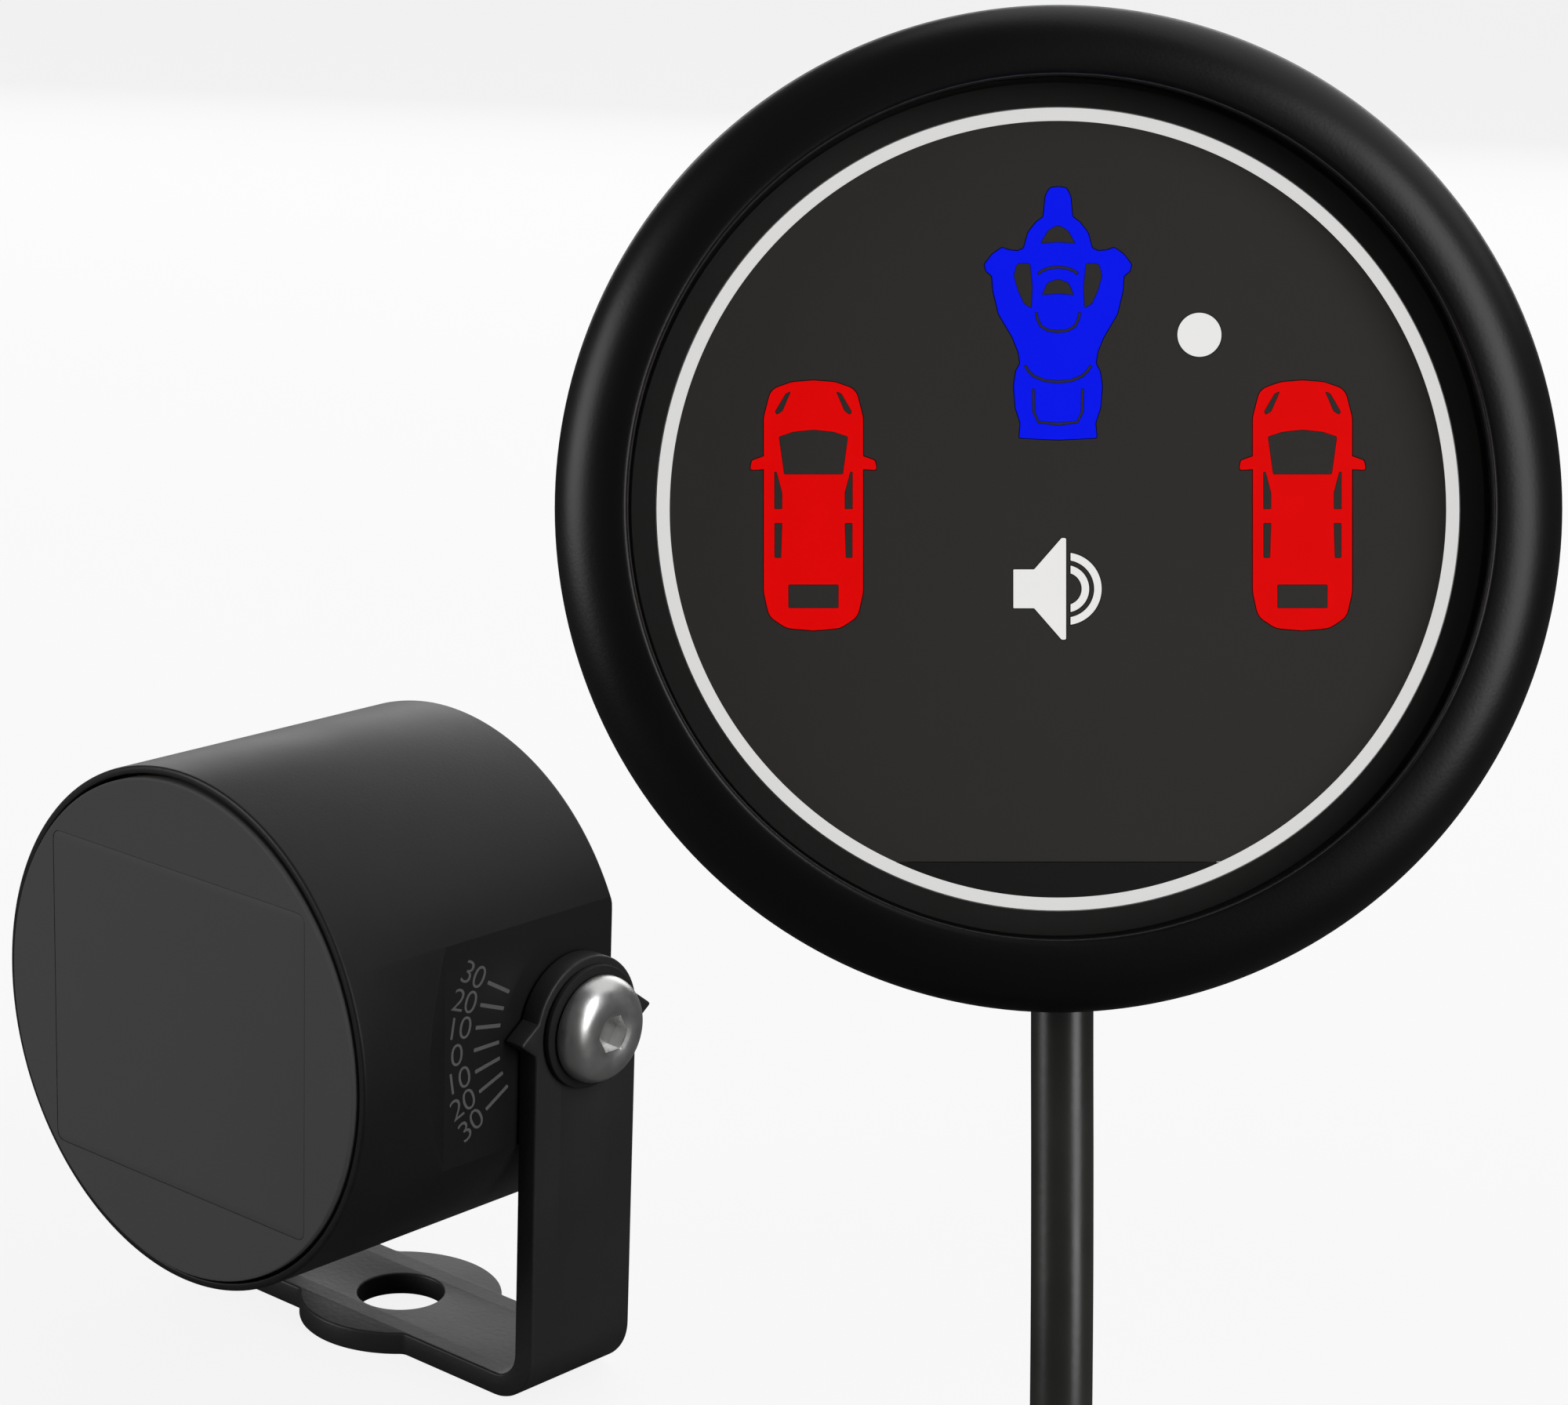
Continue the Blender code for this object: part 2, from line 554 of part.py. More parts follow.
def build_rear(pod):
    """The rear cover, its seal and four screws, and the rubber gland for the pod's own cable."""
    outline = flatted(COVER_RADIUS, COVER_HALF)
    cover = solid("rear_cover", prism("rear_cover", outline, POD_BACK, COVER_FRONT), "black_plastic", pod)
    low, high = POD_BACK - OVER, COVER_FRONT + OVER
    for place in rear_screw_places():
        hole = rod("hole", REAR_SCREW_RADIUS + FIT_GAP, low, high)
        tool(cover, "DIFFERENCE", hole, place=(*place, 0.0))
    tool(cover, "DIFFERENCE", rod("hole", GLAND_NECK + FIT_GAP, low, high, SMALL + 4))
    inner = flatted(CHAMBER_RADIUS + FIT_GAP, BACK_HALF + FIT_GAP)
    seal = ring_prism("rear_seal", outline, inner, COVER_FRONT + REST_GAP, COVER_SEAT - REST_GAP)
    solid("rear_seal", seal, "rubber", pod)
    head_low = POD_BACK - REST_GAP - REAR_SCREW_HEAD_HEIGHT
    profile = [(0.0, head_low), (REAR_SCREW_HEAD, head_low), (REAR_SCREW_HEAD, POD_BACK - REST_GAP)]
    profile += [(REAR_SCREW_RADIUS, POD_BACK - REST_GAP), (REAR_SCREW_RADIUS, POD_BACK + REAR_SCREW_LENGTH)]
    profile += [(0.0, POD_BACK + REAR_SCREW_LENGTH)]
    screw = turned("rear_screw", profile, SMALL)
    for number, place in enumerate(rear_screw_places(), 1):
        solid(f"rear_screw_{number}", screw.copy(), "steel", pod, (*place, 0.0))
    inside, outside = COVER_FRONT + REST_GAP, POD_BACK - REST_GAP
    flange_low, barb_high = outside - GLAND_FLANGE_THICK, inside + GLAND_BARB_THICK
    profile = [(GLAND_BORE, barb_high), (GLAND_BORE, outside - GLAND_LENGTH)]
    profile += [(GLAND_TIP, outside - GLAND_LENGTH), (GLAND_NECK, flange_low)]
    profile += [(GLAND_FLANGE, flange_low), (GLAND_FLANGE, outside), (GLAND_NECK, outside)]
    profile += [(GLAND_NECK, inside), (GLAND_BARB, inside), (GLAND_BARB, barb_high)]
    solid("pod_cable_gland", turned("pod_cable_gland", profile, SMALL + 4), "rubber", pod)


def screw_mesh():
    """A button-head screw along local Z, from the middle of the pod outwards, with a hex socket."""
    base = ARM_OUTER + WASHER_THICK + 2.0 * REST_GAP
    tip = POD_FLAT - INSERT_LENGTH
    top = base + SCREW_HEAD_HEIGHT
    shoulder = base + SCREW_HEAD_RIM
    profile = [(0.0, tip), (SCREW_RADIUS - SCREW_TIP_CHAMFER, tip), (SCREW_RADIUS, tip + SCREW_TIP_CHAMFER)]
    profile += [(SCREW_RADIUS, base), (SCREW_HEAD_RADIUS, base), (SCREW_HEAD_RADIUS, shoulder)]
    steps = 4
    for step in range(1, steps):
        angle = math.pi / 2.0 * step / steps
        width = SCREW_END_RADIUS + (SCREW_HEAD_RADIUS - SCREW_END_RADIUS) * math.cos(angle)
        profile.append((width, shoulder + (top - shoulder) * math.sin(angle)))
    profile += [(SCREW_END_RADIUS, top), (0.0, top)]
    return turned("pivot_screw", profile, SMALL + 4), top


def build_pivots(pivot):
    """On each side the screw, the washer under its head and the threaded insert in the housing."""
    socket = SOCKET_ACROSS / math.sqrt(3.0)
    bore = SCREW_RADIUS + FIT_GAP
    washer_low = ARM_OUTER + REST_GAP
    washer_high = washer_low + WASHER_THICK
    insert_low, insert_high = POD_FLAT - INSERT_LENGTH - REST_GAP, POD_FLAT - REST_GAP
    for name, side in (("left", -1.0), ("right", 1.0)):
        turn = (0.0, side * math.pi / 2.0, 0.0)
        mesh, top = screw_mesh()
        screw = solid(f"pivot_screw_{name}", mesh, "steel", pivot, turn=turn)
        tool(screw, "DIFFERENCE", rod("socket", socket, top - SOCKET_DEPTH, top + OVER, 6), turn=turn)
        washer = [(bore, washer_low), (WASHER_RADIUS, washer_low), (WASHER_RADIUS, washer_high), (bore, washer_high)]
        solid(f"pivot_washer_{name}", turned("washer", washer, COARSE), "rubber", pivot, turn=turn)
        insert = [(bore, insert_low), (INSERT_RADIUS, insert_low), (INSERT_RADIUS, insert_high), (bore, insert_high)]
        solid(f"pivot_insert_{name}", turned("insert", insert, SMALL + 4), "brass", pivot, turn=turn)


def build_pod():
    """The pod hangs on its tilt axis: everything in it follows the pivot's empty."""
    pivot = frame_empty("pod_pivot", (0.0, 0.0, PIVOT_HEIGHT))
    pod = frame_empty("pod_frame", (0.0, PIVOT_Z, 0.0), (math.pi / 2.0, 0.0, 0.0), pivot)
    build_housing(pod)
    build_radome(pod)
    build_boards(pod)
    build_rear(pod)
    build_pivots(pivot)


# ---------------------------------------------------------------- display

# Depths along the display's axis, from the bezel's outer edge
LIP_BACK = BEZEL_RISE - BEZEL_LIP
LENS_FRONT = LIP_BACK - REST_GAP
LENS_BACK = LENS_FRONT - LENS_THICK
BEZEL_BORE = DISPLAY_RADIUS - BEZEL_WALL
INNER_RADIUS = BEZEL_BORE - FIT_GAP
PANEL_FRONT = LENS_BACK - REST_GAP
PANEL_BACK = PANEL_FRONT - PANEL_THICK
BAFFLE_FRONT = PANEL_BACK - REST_GAP
BAFFLE_STEP = BAFFLE_FRONT - BAFFLE_FLANGE
BAFFLE_BACK = BAFFLE_FRONT - BAFFLE_DEPTH
GUIDE_BACK = PANEL_FRONT - GUIDE_DEPTH
SPIGOT_FRONT = BAFFLE_STEP - REST_GAP
SPIGOT_BORE = INNER_RADIUS - SPIGOT_WALL
CIRCUIT_FRONT = BAFFLE_BACK - REST_GAP
CIRCUIT_BACK = CIRCUIT_FRONT - CIRCUIT_THICK
LEDGE_FRONT = CIRCUIT_BACK - REST_GAP
SHOULDER = -BEZEL_SKIRT - RIM_SEAL_THICK - 2.0 * REST_GAP
HOUSING_RADIUS = DISPLAY_RADIUS - HOUSING_INSET
CABLE_BORE = CABLE_RADIUS + FIT_GAP
CABLE_NECK = CABLE_BORE + CABLE_GLAND_WALL
CABLE_LEVEL = SHOULDER - CABLE_HOLE_FRONT - CABLE_NECK - FIT_GAP
HOUSING_BACK = CABLE_LEVEL - CABLE_NECK - FIT_GAP - CABLE_HOLE_BACK
MASK_OUTER = BEZEL_OPENING - MASK_GAP

# Outlines of the symbols, in millimetres
CAR_HALF = [
    (0.0, 7.22), (1.24, 7.12), (2.35, 6.75), (2.70, 5.99), (2.86, 5.08), (2.86, 2.80), (3.61, 2.45),
    (3.61, 2.05), (2.86, 2.06), (2.86, -5.00), (2.70, -5.91), (2.25, -6.62), (1.54, -7.07), (0.0, -7.20),
]
WINDSCREEN_HALF = [(0.0, 4.38), (1.10, 4.27), (2.00, 3.98), (1.70, 1.80), (0.0, 1.80)]
REAR_WINDOW_HALF = [(0.0, -4.55), (1.45, -4.55), (1.45, -5.91), (0.0, -5.91)]
RIDER_HALF = [
    (0.0, 18.57), (0.55, 18.45), (0.84, 16.83), (1.61, 16.12), (1.97, 15.05), (2.75, 14.90), (3.24, 15.06),
    (4.22, 14.10), (3.81, 13.45), (3.74, 12.60), (3.42, 11.25), (2.60, 9.90), (2.17, 8.50), (2.53, 7.82),
    (2.63, 7.11), (2.52, 5.90), (2.22, 4.85), (2.17, 4.04), (0.0, 4.00),
]
ARM_GAP = [(1.60, 14.18), (2.38, 14.18), (2.54, 13.45), (2.32, 12.60), (1.98, 11.85), (1.52, 11.55)]
SPEAKER_HALF = [(-3.00, 1.12), (-1.81, 1.12), (-0.25, 2.93), (0.04, 2.93)]


def in_metres(points):
    """An outline given in millimetres, in metres."""
    return [(x * MM, y * MM) for x, y in points]


def cut_arc(radius, steps=10):
    """Points along an arc from bottom to top, cut off at the left where the waves start."""
    half = math.acos(WAVE_START / radius)
    angles = [half * (2.0 * step / steps - 1.0) for step in range(steps + 1)]
    return [(radius * math.cos(a), radius * math.sin(a)) for a in angles]


def wave_outline(radius):
    """One arc of the speaker symbol, open to the left."""
    return cut_arc(radius + WAVE_WIDTH) + cut_arc(radius)[::-1]


def symbols():
    """Every lit symbol: name, colour, outline on the face, and openings inside it."""
    car = mirrored(in_metres(CAR_HALF))
    car_holes = [mirrored(in_metres(WINDSCREEN_HALF)), mirrored(in_metres(REAR_WINDOW_HALF))]
    rider_gap = in_metres(ARM_GAP)
    upper = in_metres(SPEAKER_HALF)
    speaker = upper + [(x, -y) for x, y in reversed(upper)]
    waves = {"inner": WAVE_INNER, "outer": WAVE_OUTER}
    found = []
    for name, side in (("left", -1.0), ("right", 1.0)):
        centre = (side * CAR_OFFSET, CAR_RISE)
        holes = [shifted(hole, centre) for hole in car_holes]
        found.append((f"car_symbol_{name}", "red_light", shifted(car, centre), holes))
    gaps = [rider_gap, [(-x, y) for x, y in rider_gap]]
    found.append(("rider_symbol", "blue_light", mirrored(in_metres(RIDER_HALF)), gaps))
    found.append(("speaker_symbol", "white_light", shifted(speaker, SPEAKER_PLACE), []))
    for name, radius in waves.items():
        found.append((f"sound_wave_{name}", "white_light", shifted(wave_outline(radius), SPEAKER_PLACE), []))
    found.append(("status_light", "white_light", circle(DOT_RADIUS, SMALL, DOT_PLACE), []))
    return found


def panel_windows():
    """Openings of the face panel: one round each symbol, and one round both waves."""
    solo = [outline for name, _, outline, _ in symbols() if not name.startswith("sound_wave")]
    round_waves = shifted(cut_arc(WAVE_OUTER + WAVE_WIDTH + FIT_GAP), SPEAKER_PLACE)
    return [grown(outline, FIT_GAP) for outline in solo] + [round_waves]


def build_bezel(face):
    """The black bezel ring, the lens under its lip and the gasket behind the lens."""
    profile = [(BEZEL_BORE, -BEZEL_SKIRT), (DISPLAY_RADIUS, -BEZEL_SKIRT), (DISPLAY_RADIUS, -BEZEL_ROUND)]
    profile += [(DISPLAY_RADIUS - BEZEL_ROUND / 2.0, 0.0), (BEZEL_OPENING + BEZEL_ROUND, BEZEL_RISE)]
    profile += [(BEZEL_OPENING, BEZEL_RISE - BEZEL_ROUND / 2.0), (BEZEL_OPENING, LIP_BACK), (BEZEL_BORE, LIP_BACK)]
    solid("bezel", turned("bezel", profile, FINE + 8), "black_metal", face)
    solid("lens", rod("lens", INNER_RADIUS, LENS_BACK, LENS_FRONT, HIDDEN + 8), "lens_clear", face)
    inner = INNER_RADIUS - GASKET_WIDTH
    ring = [(inner, PANEL_BACK), (INNER_RADIUS, PANEL_BACK), (INNER_RADIUS, PANEL_FRONT), (inner, PANEL_FRONT)]
    solid("lens_gasket", turned("lens_gasket", ring, HIDDEN), "rubber", face)


def build_panel(face):
    """The printed face panel with its windows, the black mask ring and the white ring between them."""
    panel = rod("face_panel", RING_INNER - FIT_GAP, PANEL_BACK, PANEL_FRONT, HIDDEN + 8)
    panel = solid("face_panel", panel, "face_grey", face)
    for outline in panel_windows():
        tool(panel, "DIFFERENCE", prism("window", outline, PANEL_BACK - OVER, PANEL_FRONT + OVER))
    mask_outer = min(MASK_OUTER, INNER_RADIUS - GASKET_WIDTH - FIT_GAP)
    inner = RING_OUTER + FIT_GAP
    mask = [(inner, PANEL_BACK), (mask_outer, PANEL_BACK), (mask_outer, PANEL_FRONT), (inner, PANEL_FRONT)]
    solid("mask_ring", turned("mask_ring", mask, HIDDEN + 8), "mask_black", face)
    ring = [(RING_INNER, GUIDE_BACK), (RING_OUTER, GUIDE_BACK), (RING_OUTER, PANEL_FRONT), (RING_INNER, PANEL_FRONT)]
    solid("light_ring", turned("light_ring", ring, HIDDEN + 8), "white_light", face)


def build_symbols(face):
    """A light guide for each symbol, flush with the face panel."""
    for name, look, outline, holes in symbols():
        guide = solid(name, prism(name, outline, GUIDE_BACK, PANEL_FRONT), look, face)
        for hole in holes:
            tool(guide, "DIFFERENCE", prism("opening", hole, GUIDE_BACK - OVER, PANEL_FRONT + OVER))


def light_pockets():
    """Size and centre of each light pocket in the baffle."""
    outlines = {name: outline for name, _, outline, _ in symbols()}
    grouped = {
        "car_left": outlines["car_symbol_left"],
        "car_right": outlines["car_symbol_right"],
        "rider": outlines["rider_symbol"],
        "status": outlines["status_light"],
        "speaker": outlines["speaker_symbol"] + outlines["sound_wave_outer"],
    }
    return {name: extent(outline, POCKET_MARGIN) for name, outline in grouped.items()}


def build_baffle(face):
    """The light baffle: a stepped disc with a pocket for each symbol and a groove for the ring."""
    lower = SPIGOT_BORE - FIT_GAP
    groove_in, groove_out = RING_INNER - FIT_GAP, RING_OUTER + FIT_GAP
    groove_floor = GUIDE_BACK - REST_GAP
    profile = [(0.0, BAFFLE_BACK), (lower, BAFFLE_BACK), (lower, BAFFLE_STEP), (INNER_RADIUS, BAFFLE_STEP)]
    profile += [(INNER_RADIUS, BAFFLE_FRONT), (groove_out, BAFFLE_FRONT), (groove_out, groove_floor)]
    profile += [(groove_in, groove_floor), (groove_in, BAFFLE_FRONT), (0.0, BAFFLE_FRONT)]
    baffle = solid("light_baffle", turned("light_baffle", profile, HIDDEN + 8), "mask_black", face)
    height = BAFFLE_DEPTH + 2.0 * OVER
    middle = (BAFFLE_FRONT + BAFFLE_BACK) / 2.0
    for size, centre in light_pockets().values():
        tool(baffle, "DIFFERENCE", box("pocket", (*size, height), (*centre, middle)))


def build_electronics(face):
    """The circuit board with a light in each pocket, and the controller and buzzer on its back."""
    board = rod("circuit_board", SPIGOT_BORE - FIT_GAP, CIRCUIT_BACK, CIRCUIT_FRONT, HIDDEN)
    solid("circuit_board", board, "circuit_green", face)
    led_middle = CIRCUIT_FRONT + REST_GAP + LED_SIZE[2] / 2.0
    for name, (_, centre) in light_pockets().items():
        led = box("led", LED_SIZE, (*centre, led_middle))
        solid(f"led_{name}", led, "led", face)
    under = CIRCUIT_BACK - REST_GAP
    chip = box("controller_chip", CHIP_SIZE, (*CHIP_PLACE, under - CHIP_SIZE[2] / 2.0))
    solid("controller_chip", chip, "chip", face)
    buzzer = rod("buzzer", BUZZER_RADIUS, under - BUZZER_HEIGHT, under, SMALL + 4)
    solid("buzzer", buzzer, "black_plastic", face, (*BUZZER_PLACE, 0.0))


def build_back(face):
    """The rear housing, the seal under the bezel, the cable gland and the adhesive pad."""
    edge = HOUSING_CHAMFER
    spigot = INNER_RADIUS
    ledge = SPIGOT_BORE - LEDGE_WIDTH
    back = HOUSING_BACK
    floor = back + HOUSING_FLOOR
    profile = [(0.0, back), (HOUSING_RADIUS - edge, back), (HOUSING_RADIUS, back + edge)]
    profile += [(HOUSING_RADIUS, SHOULDER), (spigot, SHOULDER), (spigot, SPIGOT_FRONT), (SPIGOT_BORE, SPIGOT_FRONT)]
    profile += [(SPIGOT_BORE, LEDGE_FRONT), (ledge, LEDGE_FRONT), (ledge, floor), (0.0, floor)]
    housing = solid("rear_housing", turned("rear_housing", profile, FINE), "black_plastic", face)
    bore, neck = CABLE_BORE, CABLE_NECK
    turn = (math.pi / 2.0, 0.0, 0.0)
    place = (CABLE_OFFSET, 0.0, CABLE_LEVEL)
    inner_end = SPIGOT_BORE + REST_GAP
    hole = rod("cable_hole", neck + FIT_GAP, ledge - OVER, HOUSING_RADIUS + OVER, SMALL + 4)
    tool(housing, "DIFFERENCE", hole, place=place, turn=turn)
    low, high = SHOULDER + REST_GAP, -BEZEL_SKIRT - REST_GAP
    inner = BEZEL_BORE
    seal = [(inner, low), (HOUSING_RADIUS, low), (HOUSING_RADIUS, high), (inner, high)]
    solid("rim_seal", turned("rim_seal", seal, HIDDEN), "rubber", face)
    outer_end = DISPLAY_RADIUS - CABLE_GLAND_INSET
    gland = [(bore, inner_end), (neck, inner_end), (neck, outer_end), (bore, outer_end)]
    solid("cable_gland", turned("cable_gland", gland, SMALL + 4), "rubber", face, place, turn)
    pad_front = HOUSING_BACK - REST_GAP
    pad = rod("adhesive_pad", PAD_RADIUS, pad_front - PAD_THICK, pad_front, COARSE + 8)
    solid("adhesive_pad", pad, "foam", face)


def build_display():
    """The display stands tilted back on its own frame."""
    lean = math.radians(90.0 - DISPLAY_TILT_BACK)
    stand = frame_empty("display_stand", DISPLAY_PLACE, (lean, 0.0, math.radians(DISPLAY_TURN)))
    face = frame_empty("display_face", (0.0, 0.0, 0.0), (0.0, 0.0, math.radians(DISPLAY_SPIN)), stand)
    build_bezel(face)
    build_panel(face)
    build_symbols(face)
    build_baffle(face)
    build_electronics(face)
    build_back(face)


# ---------------------------------------------------------------- cable and plug


def smooth_points(route, spacing):
    """Points along a smooth curve through the route's own points, about the spacing apart."""
    ends = [Vector(point) for point in route]
    ends = [2.0 * ends[0] - ends[1]] + ends + [2.0 * ends[-1] - ends[-2]]
    points = []
    for a, b, c, d in zip(ends, ends[1:], ends[2:], ends[3:]):
        steps = max(1, round((c - b).length / spacing))
        for step in range(steps):
            t = step / steps
            bend = (2.0 * a - 5.0 * b + 4.0 * c - d) * t * t + (3.0 * b - a - 3.0 * c + d) * t * t * t
            points.append((2.0 * b + (c - a) * t + bend) / 2.0)
    points.append(ends[-2])
    return points


def cable(name, route):
    """A round cable along a route."""
    data = bpy.data.curves.new(name, "CURVE")
    data.dimensions = "3D"
    data.bevel_depth = CABLE_RADIUS
    data.bevel_resolution = 2
    data.use_fill_caps = True
    points = smooth_points(route, 4.0 * CABLE_RADIUS)
    spline = data.splines.new("POLY")
    spline.points.add(len(points) - 1)
    for target, point in zip(spline.points, points):
        target.co = (*point, 1.0)
    data.materials.append(material("cable"))
    made = bpy.data.objects.new(name, data)
    bpy.context.scene.collection.objects.link(made)


def gland_point():
    """Where the cable starts inside its gland, in the world frame."""
    stand = Euler((math.radians(90.0 - DISPLAY_TILT_BACK), 0.0, math.radians(DISPLAY_TURN))).to_matrix().to_4x4()
    face = Matrix.Translation(DISPLAY_PLACE) @ stand @ Matrix.Rotation(math.radians(DISPLAY_SPIN), 4, "Z")
    return face @ Vector((CABLE_OFFSET, CABLE_START - DISPLAY_RADIUS, CABLE_LEVEL))


def hanging_route():
    """The cable's route, drawn so that it starts in the gland wherever the display's sizes put that."""
    route = [Vector(point) for point in CABLE_ROUTE]
    top, low = route[0].z, route[-1].z
    shift = gland_point() - route[0]
    return [point + shift * (point.z - low) / (top - low) for point in route]


def build_cable():
    """The hanging cable, the coil of its spare length and the short tail to the plug."""
    cable("display_cable", hanging_route())
    cable("cable_tail", TAIL_ROUTE)
    edge = COIL_EDGE
    profile = [(COIL_INNER, edge), (COIL_INNER + edge, 0.0), (COIL_OUTER - edge, 0.0), (COIL_OUTER, edge)]
    profile += [(COIL_OUTER, COIL_HEIGHT - edge), (COIL_OUTER - edge, COIL_HEIGHT)]
    profile += [(COIL_INNER + edge, COIL_HEIGHT), (COIL_INNER, COIL_HEIGHT - edge)]
    solid("cable_coil", turned("cable_coil", profile, COARSE), "cable", place=(*COIL_CENTRE, 0.0))


def build_plug():
    """The plug lies with its axis along -X: boot, body, insert with pins, seal and coupling nut."""
    axis = frame_empty("plug_axis", TAIL_ROUTE[-1], (0.0, -math.pi / 2.0, 0.0))
    boot_low, boot_high = FIT_GAP, FIT_GAP + BOOT_LENGTH
    wide = PLUG_RADIUS - BOOT_WALL
    boot = [(0.0, boot_low), (CABLE_RADIUS + BOOT_WALL, boot_low), (wide, boot_high - BOOT_END)]
    boot += [(wide, boot_high), (0.0, boot_high)]
    solid("plug_boot", turned("plug_boot", boot, SMALL + 4), "rubber", axis)
    body_low = boot_high + REST_GAP
    body_high = body_low + PLUG_LENGTH
    collar = body_low + COLLAR_LENGTH
    barrel = PLUG_RADIUS - PLUG_STEP
    cavity = PLUG_RADIUS - PLUG_WALL
    floor = body_low + PLUG_FLOOR
    body = [(0.0, body_low), (PLUG_RADIUS, body_low), (PLUG_RADIUS, collar), (barrel, collar)]
    body += [(barrel, body_high), (cavity, body_high), (cavity, floor), (0.0, floor)]
    solid("plug_body", turned("plug_body", body, SMALL + 8), "black_plastic", axis)
    insert_low = floor + REST_GAP
    insert_high = insert_low + INSERT_THICK
    insert = rod("plug_insert", cavity - FIT_GAP, insert_low, insert_high, SMALL + 4)
    insert = solid("plug_insert", insert, "black_plastic", axis)
    for place in circle(PIN_CIRCLE, PIN_COUNT):
        pin = rod("pin", PIN_RADIUS, insert_high - INSERT_THICK / 4.0, insert_high + PIN_PROUD, SMALL // 2)
        tool(insert, "UNION", pin, place=(*place, 0.0))
    seal_low = insert_high + REST_GAP
    seal_high = seal_low + PLUG_SEAL_THICK
    seal_out = cavity - FIT_GAP
    seal_in = seal_out - PLUG_SEAL_WIDTH
    seal = [(seal_in, seal_low), (seal_out, seal_low), (seal_out, seal_high), (seal_in, seal_high)]
    solid("plug_seal", turned("plug_seal", seal, SMALL + 4), "rubber", axis)
    nut_low, nut_in = collar + REST_GAP, barrel + FIT_GAP
    nut_high = nut_low + NUT_LENGTH
    nut = [(nut_in, nut_low), (PLUG_NUT_RADIUS, nut_low), (PLUG_NUT_RADIUS, nut_high), (nut_in, nut_high)]
    solid("plug_nut", turned("plug_nut", nut, SMALL + 8), "black_plastic", axis)


def main():
    """Build the whole set in an empty scene."""
    for old in list(bpy.data.objects):
        bpy.data.objects.remove(old)
    build_bracket()
    build_pod()
    build_display()
    build_cable()
    build_plug()


main()
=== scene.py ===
"""Finished looks of a motorcycle blind-spot radar set, built round its packed frame.

The builders work in millimetres, each in its own piece's frame; settle() puts a mesh in place, in metres.
"""

import json
import math

import bmesh
import bpy
from mathutils import Matrix, Vector

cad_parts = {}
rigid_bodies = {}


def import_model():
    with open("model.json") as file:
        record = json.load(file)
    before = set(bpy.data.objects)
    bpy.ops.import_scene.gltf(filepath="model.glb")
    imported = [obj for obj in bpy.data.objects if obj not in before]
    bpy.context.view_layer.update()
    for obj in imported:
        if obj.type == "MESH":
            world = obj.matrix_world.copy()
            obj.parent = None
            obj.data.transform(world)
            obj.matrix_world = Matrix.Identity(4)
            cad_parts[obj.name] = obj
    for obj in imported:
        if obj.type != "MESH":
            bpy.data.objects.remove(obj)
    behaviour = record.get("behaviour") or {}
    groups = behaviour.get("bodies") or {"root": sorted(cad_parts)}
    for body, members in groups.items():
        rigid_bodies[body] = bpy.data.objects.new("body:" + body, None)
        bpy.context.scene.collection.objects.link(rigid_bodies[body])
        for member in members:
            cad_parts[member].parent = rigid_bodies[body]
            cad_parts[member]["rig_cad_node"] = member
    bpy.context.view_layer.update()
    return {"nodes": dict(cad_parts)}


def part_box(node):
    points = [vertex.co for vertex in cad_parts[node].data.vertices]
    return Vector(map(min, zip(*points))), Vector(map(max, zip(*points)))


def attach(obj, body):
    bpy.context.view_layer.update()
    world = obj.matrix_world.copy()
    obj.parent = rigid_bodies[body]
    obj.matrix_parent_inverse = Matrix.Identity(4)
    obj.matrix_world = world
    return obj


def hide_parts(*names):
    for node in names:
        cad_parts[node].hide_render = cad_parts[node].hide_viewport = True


bl_info = {
    "name": "Blind-spot radar set",
    "version": (1, 0, 0),
    "blender": (4, 5, 0),
    "location": "View3D > Sidebar > Radar set",
    "description": "Finished looks of a radar pod on its tilting bracket and of its round warning display",
    "category": "Object",
}

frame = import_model()

MM = 0.001
FIXED = "bracket_and_display"
POD = "radar_pod"

# ---------------------------------------------------------------- places taken from the frame


def middle(node):
    """The middle of a CAD node's box."""
    low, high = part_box(node)
    return (low + high) / 2.0


def extent(node, axis):
    """A CAD node's size along an axis, in metres."""
    low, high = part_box(node)
    return high[axis] - low[axis]


PIVOT = Vector((0.0, middle("pivot_washer_right").y, middle("pivot_washer_right").z))
POD_BACK_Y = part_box("pod_housing")[1].y
POD_FRONT_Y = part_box("radome")[0].y
POD_PLACE = Matrix.Translation((0.0, (POD_BACK_Y + POD_FRONT_Y) / 2.0, PIVOT.z))
POD_PLACE = POD_PLACE @ Matrix.Rotation(math.pi / 2.0, 4, "X")

# The display stands tilted back, turned about the vertical and a little spun in its own plane, in degrees.
DISPLAY_CENTRE = (0.11089, -0.05420, 0.10303)
DISPLAY_TURN = 40.66
DISPLAY_TILT_BACK = 15.38
DISPLAY_SPIN = 2.04
FACING = Matrix.Rotation(math.radians(DISPLAY_TURN), 4, "Z")
FACING = FACING @ Matrix.Rotation(math.radians(90.0 - DISPLAY_TILT_BACK), 4, "X")
FACING = FACING @ Matrix.Rotation(math.radians(DISPLAY_SPIN), 4, "Z")
DISPLAY_PLACE = Matrix.Translation(DISPLAY_CENTRE) @ FACING

# ---------------------------------------------------------------- sizes and colours that a user may change


def length(name, about, default):
    """A length property, in metres."""
    return bpy.props.FloatProperty(
        name=name, description=about, default=default, min=0.0, unit="LENGTH", precision=5
    )


def tint(name, about, default):
    """A linear colour property."""
    return bpy.props.FloatVectorProperty(
        name=name, description=about, default=default, size=3, min=0.0, max=1.0, subtype="COLOR"
    )


